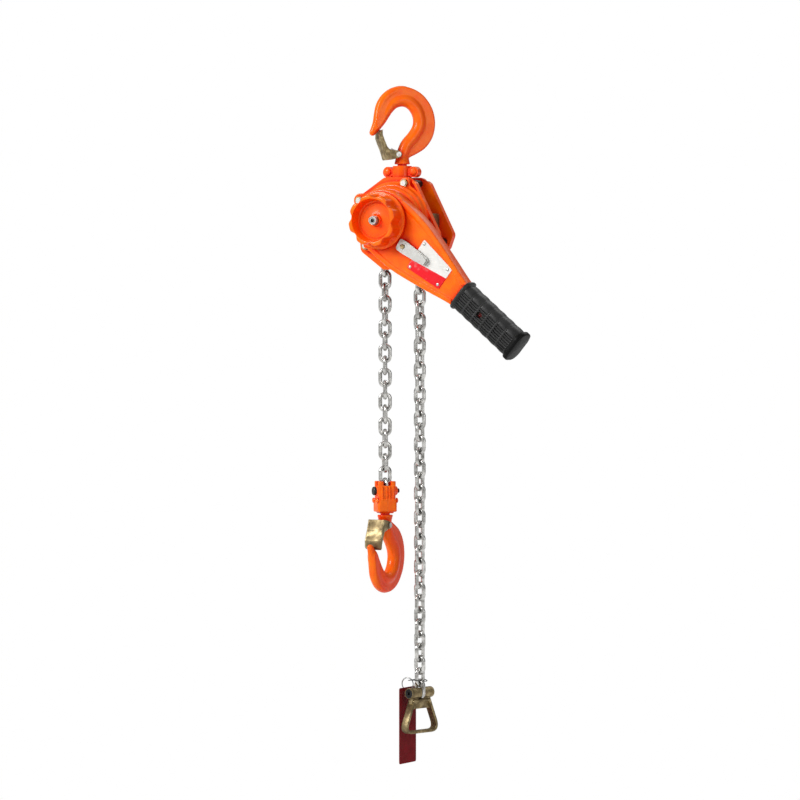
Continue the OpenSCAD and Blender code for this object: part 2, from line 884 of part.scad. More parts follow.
module load_gear() {
    color(steel)
    at_shaft()
    difference() {
        gear(wheel_teeth, disc_gear_at + 180 / wheel_teeth, load_gear_y);
        bar_y(11 + seat_fit, 0, 60);
    }
}

// Disc gear in the direction disc_gear_at + turn: its wheel meets the shaft's pinion, its pinion the load gear
module disc_gear(turn) {
    way = disc_gear_at + turn;
    color(steel)
    at_shaft()
    at(polar(gear_centres, way)) {
        gear(pinion_teeth, way, load_gear_y);
        gear(wheel_teeth, way + 180 / wheel_teeth, wheel_gear_y);
        bar_y(disc_journal_r, plate_in + 1, case_end + 3);
        bar_y(6.5, load_gear_y, wheel_gear_y + gear_face);
    }
}

module disc_gear_1() {
    disc_gear(0);
}

module disc_gear_2() {
    disc_gear(180);
}

module drive_shaft() {
    tip = nut_back - end_nut_t + 0.6;
    color(steel)
    at_shaft() {
        bar_y(shaft_r, lever_front_y, wheel_gear_y);
        gear(pinion_teeth, disc_gear_at, wheel_gear_y);
        bar_y(end_journal_r, wheel_gear_y, case_end + 3.5);
        difference() {
            bar_y(front_r, tip, lever_front_y);
            bar_y(end_bore_r, tip - 1, tip + 8);
        }
    }
}

// ---- Brake ----

module disc_hub() {
    color(steel)
    at_shaft()
    spin_y() polygon([
        [shaft_r + seat_fit, -plate_out - clear], [hub_r, -plate_out - clear], [hub_r, hub_front + 4], [disc_r, hub_front + 4],
        [disc_r, hub_front], [hub_r, hub_front], [hub_r, clamp_face + 0.1], [shaft_r + seat_fit, clamp_face + 0.1]
    ]);
}

module friction_plates() {
    color(bronze)
    at_shaft() {
        tube_y(disc_r - 0.5, hub_r + seat_fit, hub_front - friction_t, hub_front);
        tube_y(disc_r - 0.5, hub_r + seat_fit, clamp_face, clamp_face + friction_t);
    }
}

// Saw-toothed disc; a steep face stands at every ratchet_step
module ratchet_disc() {
    low = ratchet_r - 4;
    color(steel)
    at_shaft()
    difference() {
        slab(ratchet_front, ratchet_front + 4)
        polygon([for (k = [0:ratchet_teeth - 1])
            let (face = pawl_faces[0] + k * ratchet_step)
            each [polar(low, face), polar(ratchet_r, face), polar(ratchet_r - 0.4, face + 3),
                polar(ratchet_r - 1.8, face + ratchet_step / 2), polar(low, face + ratchet_step - 4)]]);
        bar_y(hub_r + 0.5, -60, 0);
    }
}

// Pawl whose nose stands behind the steep face at the angle face
module pawl(face) {
    pivot = polar(pawl_pivot_r, face - pawl_back);
    back = ratchet_front + 5;
    color(steel)
    at_shaft()
    difference() {
        union() {
            slab(ratchet_front - 1, back)
            polygon([
                polar(31.4, face - 0.9), polar(29.2, face - 0.9), polar(29.9, face - 7), polar(33.5, face - 24),
                polar(40.5, face - 34), polar(47.5, face - 38), polar(39, face - 14)
            ]);
            at(pivot) bar_y(4.8, ratchet_front - 1, back);
        }
        at(pivot) bar_y(pawl_pin_r + run_fit, -60, 0);
    }
}

module pawl_1() {
    pawl(pawl_faces[0]);
}

module pawl_2() {
    pawl(pawl_faces[1]);
}

module pawl_pins() {
    color(steel)
    at_shaft()
    for (face = pawl_faces)
        at(polar(pawl_pivot_r, face - pawl_back)) bar_y(pawl_pin_r, ratchet_front - 2.5, -plate_in - 0.5);
}

module pawl_springs() {
    color(steel)
    at_shaft()
    for (face = pawl_faces)
        at(polar(pawl_pivot_r, face - pawl_back))
        tube_y(pawl_pin_r + 1.6, pawl_pin_r + clear, ratchet_front + 5 + clear, -plate_out - clear);
}

module change_gear() {
    first = -lever_fall + selector_back;
    step = 360 / change_teeth;
    color(steel)
    at_shaft()
    difference() {
        union() {
            bar_y(disc_r, clamp_face - 3, clamp_face);
            bar_y(change_hub_r, lever_front_y, clamp_face);
            slab(pawl_y - 3, pawl_y + 3)
            polygon([for (k = [0:change_teeth - 1])
                let (mid = first + k * step)
                each [polar(change_root_r, mid - 5.6), polar(change_tip_r, mid - 3.2),
                    polar(change_tip_r, mid + 3.2), polar(change_root_r, mid + 5.6)]]);
        }
        bar_y(shaft_r + seat_fit, -90, 0);
    }
}

// ---- Lever ----

// Lever body from y0 to y1, smaller all round by margin and cut off at reach
module lever_body(margin, reach, y0, y1) {
    top = [for (p = lever_profile) [min(p[0], reach), p[1] - margin]];
    bar_y(head_r - margin, y0, y1);
    slab(y0, y1) polygon(concat(top, [for (i = [len(top) - 1:-1:0]) [top[i][0], -top[i][1]]]));
}

// One shell of the lever between y0 and y1, hollow between h0 and h1
module lever_shell(y0, y1, h0, h1) {
    difference() {
        union() {
            difference() {
                union() {
                    lever_body(0, grip_from, y0, y1);
                    for (i = [0, 1]) at(lever_screws_at[i]) bar_y(5.5, y0, y1);
                }
                lever_body(shell_wall, grip_from - 30, min(h0, y0 + (h0 > y0 ? shell_wall : -1)), max(h1, y1 - (h1 < y1 ? shell_wall : -1)));
            }
            slab(h0, h1) polygon([
                [grip_from - 5, -tang_half], [grip_from + grip_length - 5, -tang_half],
                [grip_from + grip_length - 5, tang_half], [grip_from - 5, tang_half]
            ]);
            for (i = [0, 1]) at(lever_screws_at[i]) bar_y(5.5, y0, y1);
        }
        bar_y(change_hub_r + run_fit, y0 - 1, y1 + 1);
        for (p = lever_screws_at) at(p) bar_y(2.5 + seat_fit, y0 - 1, y1 + 1);
        at([grip_hole_at, 0]) bar_y(grip_hole_r, y0 - 1, y1 + 1);
    }
}

module lever_rear() {
    inner = lever_back - shell_wall;
    color(orange)
    at_lever()
    difference() {
        lever_shell(lever_mid, lever_back, lever_mid, inner);
        at(selector_at) bar_y(5 + run_fit, inner - 1, inner + 1.7);
    }
}

module lever_front() {
    inner = lever_front_y + shell_wall;
    color(orange)
    at_lever()
    difference() {
        lever_shell(lever_front_y, lever_mid, inner, lever_mid);
        at(selector_at) bar_y(5 + run_fit, lever_front_y - 1, inner + 1);
        for (p = plate_rivets_at) at(p) bar_y(1.2 + seat_fit, lever_front_y - 1, lever_front_y + 2);
    }
}

module lever_screws() {
    head = 1.7;
    color(orange)
    at_lever() {
        for (i = [0, 1]) at(lever_screws_at[i]) {
            bar_y(2.5, lever_front_y, lever_back);
            difference() {
                spin_y() polygon([[0, lever_front_y - head], [3.4, lever_front_y - head], [4.4, lever_front_y - 0.6], [4.4, lever_front_y], [0, lever_front_y]]);
                translate([-5, lever_front_y - head - 1, -0.5]) cube([10, 1.8, 1]);
            }
        }
        at(lever_screws_at[2]) {
            bar_y(2.5, lever_front_y + 0.3, lever_back);
            spin_y() polygon([[0, lever_back], [4.4, lever_back], [4.4, lever_back + 0.6], [3.4, lever_back + head], [0, lever_back + head]]);
        }
    }
}

// Double-nosed pawl on its pivot shaft, in mid position
module change_pawl() {
    half = [polar(pawl_reach - 8, 26), polar(pawl_reach, 32.8), polar(pawl_reach, 37.2), polar(14, 70), polar(8, 120)];
    color(steel)
    at_lever()
    difference() {
        at(selector_at) {
            rotate([0, -selector_back - 180, 0])
            slab(pawl_y - 3, pawl_y + 3)
            polygon(concat([for (p = half) p], [for (i = [len(half) - 1:-1:0]) [half[i][0], -half[i][1]]]));
            bar_y(5, lever_front_y - 1, lever_back - 1.7);
        }
        at(selector_at) bar_y(2 + seat_fit, lever_front_y - 2, lever_front_y + 6);
    }
}

// Selector knob with its finger arm
module selector() {
    back = lever_front_y - 1;
    color(zinc)
    at_lever()
    at(selector_at)
    difference() {
        union() {
            bar_y(selector_hub_r, back - selector_lift - selector_t, back);
            rotate([0, -selector_tilt, 0])
            slab(back - selector_lift - selector_t, back - selector_lift)
            polygon(rounded([
                [-8.5, 9], [4, 9.2], [24, 8], [46, 5.6], [46, -5.6], [24, -8], [4, -9.2], [-8.5, -9]
            ], 4, 5));
            rotate([0, -selector_tilt, 0])
            slab(back - selector_lift - selector_t - 2, back - selector_lift - 1)
            polygon(rounded([[24, 6.8], [44.5, 4.4], [44.5, -4.4], [24, -6.8]], 2.6, 4));
        }
        bar_y(2 + seat_fit, back - 6, back + 1);
    }
}

module selector_screw() {
    back = lever_front_y - 6;
    color(yellow_zinc)
    at_lever()
    at(selector_at) {
        bar_y(2, back, lever_front_y + 5.7);
        difference() {
            spin_y() polygon([[0, back], [3.5, back], [3.5, back - 1.4], [2.6, back - 2.2], [0, back - 2.2]]);
            translate([-4, back - 3, -0.4]) cube([8, 1.8, 0.8]);
        }
    }
}

module name_plate() {
    color(zinc)
    at_lever()
    difference() {
        slab(lever_front_y - 0.8, lever_front_y) polygon(rounded(plate_corners, 2, 4));
        for (p = plate_rivets_at) at(p) bar_y(1.2 + seat_fit, lever_front_y - 2, lever_front_y + 1);
    }
}

module plate_rivets() {
    face = lever_front_y - 0.8;
    color(zinc)
    at_lever()
    for (p = plate_rivets_at) at(p) {
        bar_y(1.2, face, lever_front_y + 1.8);
        spin_y() polygon([[0, face], [2.2, face], [2, face - 0.35], [1.3, face - 0.65], [0, face - 0.75]]);
    }
}

// Round-cornered block along the lever, w wide and d deep, from u0 to u1
module grip_block(w, d, u0, u1) {
    translate([u0, lever_mid, 0])
    rotate([0, 90, 0])
    linear_extrude(u1 - u0)
    polygon(rounded([[-w / 2, -d / 2], [w / 2, -d / 2], [w / 2, d / 2], [-w / 2, d / 2]], 10, 6));
}

module grip() {
    end = grip_from + grip_length;
    color(rubber)
    at_lever()
    difference() {
        union() {
            grip_block(grip_width - 3, grip_depth - 3, grip_from, end);
            grip_block(grip_width + 6, grip_depth + 5, grip_from, grip_from + 5);
            grip_block(grip_width + 6, grip_depth + 5, end - 7, end);
            for (k = [0:grip_bands - 1])
                let (first = grip_from + 5.6 + k * band_pitch)
                grip_block(grip_width, grip_depth, first, first + band_pitch - 2.3);
        }
        translate([grip_from - 6, lever_mid - tang_depth / 2 - seat_fit, -tang_half - seat_fit])
        cube([grip_length + 1 + seat_fit, tang_depth + 2 * seat_fit, 2 * (tang_half + seat_fit)]);
        at([grip_hole_at, 0]) bar_y(grip_hole_r, -90, -20);
    }
}

// ---- Hand wheel ----

module hand_wheel() {
    flange = wheel_back - 4;
    floor_y = wheel_hub_front + 4;
    color(deep_orange)
    at_shaft()
    difference() {
        spin_y() polygon([
            [front_r + run_fit, wheel_back], [wheel_flange_r - 1, wheel_back], [wheel_flange_r, wheel_back - 1],
            [wheel_flange_r, flange + 0.8], [wheel_flange_r - 0.8, flange], [wheel_lobe_r + 0.6, flange],
            [wheel_lobe_r, flange - 0.6], [wheel_lobe_r - 0.6, wheel_front + 2], [wheel_lobe_r - 2.6, wheel_front],
            [29, wheel_front], [27, floor_y], [9, floor_y], [9, wheel_hub_front], [front_r + run_fit, wheel_hub_front]
        ]);
        for (k = [0:wheel_lobes - 1])
            at(polar(wheel_lobe_r + 3, (k + 0.5) * 360 / wheel_lobes)) bar_y(8, wheel_front - 1, flange);
    }
}

module wheel_spring() {
    color(steel)
    at_shaft() tube_y(front_r + 1.9, front_r + clear, nut_back, wheel_hub_front);
}

module end_nut() {
    front = nut_back - end_nut_t;
    color(zinc)
    at_shaft()
    spin_y() polygon([
        [front_r + seat_fit, nut_back], [end_nut_r, nut_back], [end_nut_r, front + 0.6],
        [end_nut_r - 0.6, front], [front_r + seat_fit, front]
    ]);
}

// ---- Bottom block ----

module at_block() {
    translate([-fall_x, 0, 0]) rotate([0, 0, load_twist]) children();
}

// Round bar along the chain pin's axis, from x0 to x1
module bar_x(r, x0, x1) {
    rotate([0, 0, -90]) bar_y(r, x0, x1);
}

module block_solid() {
    w = block_w / 2;
    d = block_d / 2;
    intersection() {
        slab(-d - 1, d + 1) polygon([
            [-w + 3, block_bottom], [w - 3, block_bottom], [w, block_bottom + 4], [w, block_top - 9],
            [w - 4, block_top], [-w + 4, block_top], [-w, block_top - 9], [-w, block_bottom + 4]
        ]);
        translate([0, 0, block_bottom])
        linear_extrude(block_h)
        polygon(rounded([[-w, -d], [w, -d], [w, d], [-w, d]], 6));
    }
    translate([0, 0, chain_pin_z])
    rotate([0, 90, 0])
    cylinder(r1 = 9, r2 = 6, h = w + 3.5);
}

// One half of the bottom block; side is -1 under the pin's head and 0 at its end
module block_half(side) {
    difference() {
        intersection() {
            block_solid();
            translate([40 * side, -30, block_bottom - 1]) cube([40, 60, block_h + 2]);
        }
        translate([0, 0, block_bottom - hook_gap]) stem_room();
        translate([0, 0, chain_pin_z]) bar_x(chain_pin_r + seat_fit, -30, 30);
        translate([-3.4, -10.6, chain_pin_z - 10.3]) cube([6.8, 21.2, 40]);
        translate([-10.6, -3.6, chain_pin_z + 7.5]) cube([21.2, 7.2, 40]);
        for (y = [-8, 8]) translate([0, y, chain_pin_z - 14]) bar_x(rivet_r + seat_fit, -30, 30);
    }
}

module block_front() {
    color(orange) at_block() block_half(-1);
}

module block_rear() {
    color(orange) at_block() block_half(0);
}

module chain_pin() {
    w = block_w / 2;
    color(dark_steel)
    at_block()
    translate([0, 0, chain_pin_z])
    rotate([0, 0, -90]) {
        bar_y(chain_pin_r, -w - 1, w + 3);
        bar_y(chain_pin_r - 0.8, w + 2, w + 6.5);
        spin_y() polygon([[0, -w], [6.2, -w], [6.2, -w - 3.4], [5.4, -w - 4.2], [0, -w - 4.2]]);
    }
}

module block_rivets() {
    color(orange)
    at_block()
    for (y = [-8, 8]) translate([0, y, chain_pin_z - 14]) rotate([0, 0, -90]) rivet_y(rivet_r, block_w / 2);
}

// ---- End ring and tag ----

module at_end_ring() {
    translate([tail_x, 0, tail_pin_z]) rotate([0, 0, ring_turn]) children();
}

module end_ring() {
    outline = [[-tube_l / 2 + 4, 2], [tube_l / 2 - 4, 2], [ring_base / 2, -ring_drop], [-ring_base / 2, -ring_drop]];
    slot = ring_slot / 2;
    color(yellow_zinc)
    at_end_ring()
    difference() {
        union() {
            bar_y(tube_r, -tube_l / 2, tube_l / 2);
            rotate([0, 0, 90]) {
                difference() {
                    slab(-bar_w / 2, bar_w / 2) polygon(rounded(outline, 7));
                    slab(-bar_w, bar_w) polygon(rounded(inset(outline, bar_t), 4));
                }
                slab(-3, 3) polygon([[-22, -4], [22, -4], [24.5, -20], [-24.5, -20]]);
            }
        }
        bar_y(tail_pin_r + run_fit, -40, 40);
        bar_y(6.8, -40, -tube_l / 2 + 4.6);
        translate([-20, -slot, -1]) cube([40, ring_slot, 20]);
        bar_y(link_width / 2 + 1.4, -slot, slot);
    }
}

module end_pin() {
    head = -tube_l / 2 + 4.6;
    color(dark_steel)
    at_end_ring()
    difference() {
        union() {
            bar_y(tail_pin_r, head, tube_l / 2 - 0.4);
            bar_y(6.5, head - 4, head);
        }
        hex_y(5, head - 5, head - 1.5);
    }
}

// Ring of round wire lying flat
module hoop(r) {
    rotate_extrude() translate([r, 0]) circle(cord_r, $fn = 20);
}

module tag() {
    color(dark_red)
    difference() {
        translate([tag_x - 0.4, 0, 0])
        rotate([0, 90, 0])
        linear_extrude(0.8)
        polygon(rounded([
            [-tag_hole_z - 6, -tag_w / 2], [-tag_hole_z - 6 + tag_h, -tag_w / 2],
            [-tag_hole_z - 6 + tag_h, tag_w / 2], [-tag_hole_z - 6, tag_w / 2]
        ], 3, 4));
        translate([tag_x - 5, 0, tag_hole_z]) rotate([0, 90, 0]) cylinder(r = tag_hole_r, h = 10);
    }
}

module tag_ring() {
    color(steel) translate([tag_x, 0, tag_ring_z]) rotate([90, 0, 0]) hoop(tag_ring_r);
}

module tag_cord() {
    color(rubber) translate([cord_x, 0, loop_z]) hoop(cord_loop_r);
}

top_hook();
top_latch();
top_latch_pin();
top_latch_spring();
yoke_front();
yoke_rear();
yoke_rivets();
top_pin();
side_plate_front();
side_plate_rear();
stay_bolts();
stay_nuts();
stay_spacers();
gear_case();
brake_cover();
chain_guide();
chain_stripper();
guide_roller();
load_sheave();
sheave_bushes();
load_gear();
disc_gear_1();
disc_gear_2();
drive_shaft();
disc_hub();
friction_plates();
ratchet_disc();
pawl_1();
pawl_2();
pawl_pins();
pawl_springs();
change_gear();
lever_rear();
lever_front();
lever_screws();
change_pawl();
selector();
selector_screw();
name_plate();
plate_rivets();
grip();
hand_wheel();
wheel_spring();
end_nut();
chain_load_fall();
chain_wrap();
chain_tail_fall();
block_front();
block_rear();
chain_pin();
block_rivets();
bottom_hook();
bottom_latch();
bottom_latch_pin();
bottom_latch_spring();
end_ring();
end_pin();
tag();
tag_ring();
tag_cord();
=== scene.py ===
"""A one tonne lever chain hoist, dressed piece by piece over its construction frame."""

import json
import logging
import math
from collections.abc import Callable
from dataclasses import dataclass, field
from enum import Enum

import bmesh
import bpy
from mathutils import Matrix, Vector


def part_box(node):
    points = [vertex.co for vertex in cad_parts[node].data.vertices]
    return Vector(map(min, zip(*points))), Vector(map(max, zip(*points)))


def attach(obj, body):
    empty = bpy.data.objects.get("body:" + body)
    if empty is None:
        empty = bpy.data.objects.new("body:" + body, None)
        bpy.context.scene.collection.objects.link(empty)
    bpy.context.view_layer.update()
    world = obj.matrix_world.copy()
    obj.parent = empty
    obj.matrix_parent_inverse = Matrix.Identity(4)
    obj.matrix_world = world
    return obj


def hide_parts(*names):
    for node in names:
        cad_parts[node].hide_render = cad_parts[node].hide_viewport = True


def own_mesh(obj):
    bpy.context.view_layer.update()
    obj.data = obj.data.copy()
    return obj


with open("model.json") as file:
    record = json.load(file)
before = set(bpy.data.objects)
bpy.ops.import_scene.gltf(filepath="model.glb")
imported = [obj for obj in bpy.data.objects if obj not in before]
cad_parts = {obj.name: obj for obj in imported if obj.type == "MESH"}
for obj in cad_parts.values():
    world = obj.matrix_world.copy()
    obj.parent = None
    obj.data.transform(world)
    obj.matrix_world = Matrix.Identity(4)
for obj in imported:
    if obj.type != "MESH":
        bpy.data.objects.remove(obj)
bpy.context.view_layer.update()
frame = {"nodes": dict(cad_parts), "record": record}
LOG = logging.getLogger("hoist")
MM = 0.001
SHAFT_Z = -150.0
LEVER_FALL = 40.0
LEVER_MIDDLE = -56.3
GRIP_START = 167.0
GRIP_LENGTH = 119.0
GRIP_HOLE = 213.0
GRIP_HOLE_R = 4.5
CREASE = 32.0
MERGE = 1e-7
NEEDLE = 0.01
WHITE = (1.0, 1.0, 1.0, 1.0)

Colour = tuple[float, float, float, float]
Point = tuple[float, float, float]
Flat = tuple[float, float]
Socket = bpy.types.NodeSocket

NOISE = "ShaderNodeTexNoise"
RANGE = "ShaderNodeMapRange"
RAMP = "ShaderNodeValToRGB"
MIX = "ShaderNodeMix"
MATHS = "ShaderNodeMath"
VECTORS = "ShaderNodeVectorMath"
RAYS = "ShaderNodeLightPath"
CHOICE = "ShaderNodeMixShader"


def linear(code: str) -> Colour:
    """Turn an sRGB hex colour into linear light.

    Args:
        code: The colour as "#rrggbb".

    Returns:
        Red, green, blue and a full alpha.
    """
    channels = [int(code[i : i + 2], 16) / 255 for i in (1, 3, 5)]
    low, high = 0.04045, 2.4
    light = [c / 12.92 if c <= low else ((c + 0.055) / 1.055) ** high for c in channels]
    return (light[0], light[1], light[2], 1.0)


def add_node(
    tree: bpy.types.NodeTree,
    kind: str,
    links: dict[str | int, Socket] | None = None,
    **settings: object,
) -> bpy.types.Node:
    """Add one node with its settings and links.

    Args:
        tree: The tree that the node joins.
        kind: The node's type name.
        links: Sockets of earlier nodes, by the name or number of the input they feed.
        settings: Properties of the node; a name that starts with in_ and a number sets that input,
            and stops sets a ramp's places and colours.

    Returns:
        The new node.
    """
    made = tree.nodes.new(kind)
    for name, value in settings.items():
        if name.startswith("in_"):
            made.inputs[int(name[3:])].default_value = value
        elif name == "stops":
            elements = made.color_ramp.elements
            while len(elements) < len(value):
                elements.new(0.5)
            for element, (position, colour) in zip(elements, value):
                element.position = position
                element.color = colour
        else:
            setattr(made, name, value)
    for socket, source in (links or {}).items():
        tree.links.new(source, made.inputs[socket])
    return made


def per_metre(spacing_mm: float) -> float:
    """Return the texture scale at which a pattern repeats every spacing_mm."""
    return 1 / (spacing_mm * MM)


def lumps(spacing_mm: float, detail: float = 2.0) -> dict[str, float]:
    """Return a noise's settings for soft lumps spacing_mm apart."""
    return {"in_2": per_metre(spacing_mm), "in_3": detail, "in_4": 0.55}


def limits(before: Flat, after: Flat) -> dict[str, float]:
    """Return a range's settings, which move values from before to after and hold them there."""
    return {"in_1": before[0], "in_2": before[1], "in_3": after[0], "in_4": after[1]}


def lever_point(along: float, across: float, depth: float) -> Point:
    """Turn a place in the lever's own frame into a place on the hoist.

    Args:
        along: Millimetres from the shaft towards the grip.
        across: Millimetres square to that, positive on the upper side.
        depth: Height of the place along Y.

    Returns:
        The place in millimetres.
    """
    turn = math.radians(LEVER_FALL)
    return (
        along * math.cos(turn) + across * math.sin(turn),
        depth,
        SHAFT_Z - along * math.sin(turn) + across * math.cos(turn),
    )


def read_off(points: list[Flat], at: float) -> float:
    """Read the straight lines through points at one place.

    Args:
        points: Places and values, in rising order of place.
        at: Where to read it.

    Returns:
        The value there, held level beyond both ends.
    """
    if at <= points[0][0]:
        return points[0][1]
    for (x0, y0), (x1, y1) in zip(points, points[1:]):
        if at <= x1:
            part = (at - x0) / (x1 - x0)
            return y0 + (y1 - y0) * part
    return points[-1][1]


def rounded(points: list[Flat], radius: float, steps: int = 5) -> list[Flat]:
    """Round every corner of a closed outline.

    Args:
        points: The outline's corners.
        radius: Radius of the rounding, which a short side makes smaller.
        steps: Pieces of each rounded corner.

    Returns:
        The rounded outline.
    """
    out: list[Flat] = []
    count = len(points)
    for i, corner in enumerate(points):
        here = Vector(corner)
        before = Vector(points[i - 1]) - here
        after = Vector(points[(i + 1) % count]) - here
        half = before.angle(after) / 2
        reach = min(radius / math.tan(half), before.length * 0.48, after.length * 0.48)
        a = here + before.normalized() * reach
        b = here + after.normalized() * reach
        for step in range(steps + 1):
            t = step / steps
            spot = a * (1 - t) ** 2 + here * 2 * t * (1 - t) + b * t**2
            out.append((spot.x, spot.y))
    return out


def inset(points: list[Flat], margin: float) -> list[Flat]:
    """Move a dense closed outline inwards.

    Args:
        points: The outline, anticlockwise.
        margin: Millimetres inwards.

    Returns:
        The smaller outline.
    """
    count = len(points)
    out: list[Flat] = []
    for i, here in enumerate(points):
        before, after = Vector(points[i - 1]), Vector(points[(i + 1) % count])
        way = (after - before).normalized()
        out.append((here[0] - way.y * margin, here[1] + way.x * margin))
    return out


def flowing(points: list[Flat], steps: int = 5) -> list[Flat]:
    """Draw a smooth closed outline.

    Args:
        points: Corners that the outline passes through.
        steps: Pieces between two of them.

    Returns:
        The outline.
    """
    ring = points[-2:] + points + points[:3]
    columns = [[p[c] for p in ring] for c in (0, 1)]
    count = len(points) * steps
    return [
        (through(columns[0], 2 + k / steps), through(columns[1], 2 + k / steps))
        for k in range(count)
    ]


def smooth(obj: bpy.types.Object, degrees: float = CREASE) -> None:
    """Shade obj smoothly but keep edges over the angle sharp."""
    obj.data.shade_smooth()
    obj.data.set_sharp_from_angle(angle=math.radians(degrees))


def from_work(name: str, work: bmesh.types.BMesh, degrees: float = CREASE) -> bpy.types.Object:
    """Turn finished mesh work into an object of the scene.

    Args:
        name: The piece's name.
        work: The mesh work, which is freed.
        degrees: Edges over this angle stay sharp.

    Returns:
        The object.
    """
    mesh = bpy.data.meshes.new(name)
    work.to_mesh(mesh)
    work.free()
    made = bpy.data.objects.new(name, mesh)
    bpy.context.scene.collection.objects.link(made)
    smooth(made, degrees)
    return made


def as_object(name: str, points: list[Point], faces: list[tuple[int, ...]]) -> bpy.types.Object:
    """Make a smooth shaded object from points in millimetres.

    Args:
        name: The piece's name.
        points: Its corners in millimetres.
        faces: Its faces, as corner numbers.

    Returns:
        The object.
    """
    mesh = bpy.data.meshes.new(name)
    mesh.from_pydata([tuple(c * MM for c in p) for p in points], [], faces)
    work = bmesh.new()
    work.from_mesh(mesh)
    bpy.data.meshes.remove(mesh)
    bmesh.ops.remove_doubles(work, verts=work.verts, dist=MERGE)
    bmesh.ops.recalc_face_normals(work, faces=work.faces)
    return from_work(name, work)


def loft(
    name: str, rings: list[list[Point]], around: bool = True, caps: bool = False
) -> bpy.types.Object:
    """Skin rings of equal length.

    Args:
        name: The piece's name.
        rings: Closed rings of corners in millimetres.
        around: The last ring joins the first one.
        caps: Close the first and last ring with a fan.

    Returns:
        The object.
    """
    size = len(rings[0])
    points = [p for ring in rings for p in ring]
    faces: list[tuple[int, ...]] = []
    spans = len(rings) if around else len(rings) - 1
    for j in range(spans):
        a, b = j * size, ((j + 1) % len(rings)) * size
        for i in range(size):
            k = (i + 1) % size
            faces.append((a + i, a + k, b + k, b + i))
    if caps:
        for start, ring in ((0, rings[0]), ((len(rings) - 1) * size, rings[-1])):
            middle = tuple(sum(p[c] for p in ring) / size for c in range(3))
            points.append(middle)
            hub = len(points) - 1
            faces += [(start + i, start + (i + 1) % size, hub) for i in range(size)]
    return as_object(name, points, faces)


def bevelled(obj: bpy.types.Object, width_mm: float, steps: int = 2) -> bpy.types.Object:
    """Round the sharp edges of a piece.

    Args:
        obj: The piece.
        width_mm: Width of the rounding.
        steps: Faces across it.

    Returns:
        The same piece.
    """
    made = obj.modifiers.new("rounding", "BEVEL")
    made.width = width_mm * MM
    made.segments = steps
    made.limit_method = "ANGLE"
    made.angle_limit = math.radians(34)
    made.harden_normals = True
    return obj


def slab(
    name: str,
    outline: list[Flat],
    holes: list[list[Flat]],
    low: float,
    high: float,
    place: Callable[[float, float, float], Point],
) -> bpy.types.Object:
    """Cut a flat plate from its outline and holes.

    Args:
        name: The piece's name.
        outline: The plate's edge.
        holes: The edges of its holes.
        low: One face's depth.
        high: The other face's depth.
        place: Turns a flat point and a depth into a place in millimetres.

    Returns:
        The plate.
    """
    work = bmesh.new()
    loops = [outline, *holes]
    for depth in (low, high):
        edges = []
        for loop in loops:
            spots = [work.verts.new(tuple(c * MM for c in place(p[0], p[1], depth))) for p in loop]
            edges += [work.edges.new((spots[i - 1], spots[i])) for i in range(len(spots))]
        bmesh.ops.triangle_fill(work, edges=edges, use_beauty=True, use_dissolve=False)
    for loop in loops:
        size = len(loop)
        ring = [
            [work.verts.new(tuple(c * MM for c in place(p[0], p[1], d))) for p in loop]
            for d in (low, high)
        ]
        for i in range(size):
            work.faces.new((ring[0][i - 1], ring[0][i], ring[1][i], ring[1][i - 1]))
    bmesh.ops.remove_doubles(work, verts=work.verts, dist=MERGE)
    bmesh.ops.dissolve_limit(
        work, angle_limit=math.radians(0.5), verts=work.verts, edges=work.edges
    )
    bmesh.ops.recalc_face_normals(work, faces=work.faces)
    return from_work(name, work)


def wire(name: str, path: list[Point], radius: float, around: int = 10) -> bpy.types.Object:
    """Draw a round wire along a path.

    Args:
        name: The piece's name.
        path: Places in millimetres.
        radius: The wire's radius.
        around: Faces round the wire.

    Returns:
        The wire.
    """
    spots = [Vector(p) for p in path]
    last = len(spots) - 1
    up = Vector((0.31, 0.87, 0.38)).normalized()
    rings = []
    for i, spot in enumerate(spots):
        way = (spots[min(last, i + 1)] - spots[max(0, i - 1)]).normalized()
        across = way.cross(up).normalized()
        up = across.cross(way).normalized()
        ring = circle(1.0, count=around)
        rings.append([tuple(spot + across * radius * c + up * radius * s) for c, s in ring])
    return loft(name, rings, around=False, caps=True)


def circle(radius: float, at: Flat = (0.0, 0.0), count: int = 48) -> list[Flat]:
    """Return the corners of a circle, anticlockwise."""
    turns = [2 * math.pi * i / count for i in range(count)]
    return [(at[0] + radius * math.cos(t), at[1] + radius * math.sin(t)) for t in turns]


def joined(name: str, parts: list[bpy.types.Object]) -> bpy.types.Object:
    """Melt parts into one object, with their modifiers applied.

    Args:
        name: The new object's name.
        parts: Objects, which are removed.

    Returns:
        The joined object.
    """
    graph = bpy.context.evaluated_depsgraph_get()
    work = bmesh.new()
    for part in parts:
        mesh = bpy.data.meshes.new_from_object(part.evaluated_get(graph), depsgraph=graph)
        work.from_mesh(mesh)
        bpy.data.meshes.remove(mesh)
    for part in parts:
        bpy.data.objects.remove(part)
    return from_work(name, work)


def cut_away(
    name: str, obj: bpy.types.Object, cutters: list[bpy.types.Object]
) -> bpy.types.Object:
    """Cut solids out of a piece.

    Args:
        name: The new object's name.
        obj: The piece, which is used up.
        cutters: The solids to take away, which are used up too.

    Returns:
        The piece without them.
    """
    for cutter in cutters:
        cut = obj.modifiers.new("cut", "BOOLEAN")
        cut.object = cutter
        cut.operation = "DIFFERENCE"
        cut.solver = "EXACT"
    made = joined(name, [obj])
    for cutter in cutters:
        bpy.data.objects.remove(cutter)
    return made


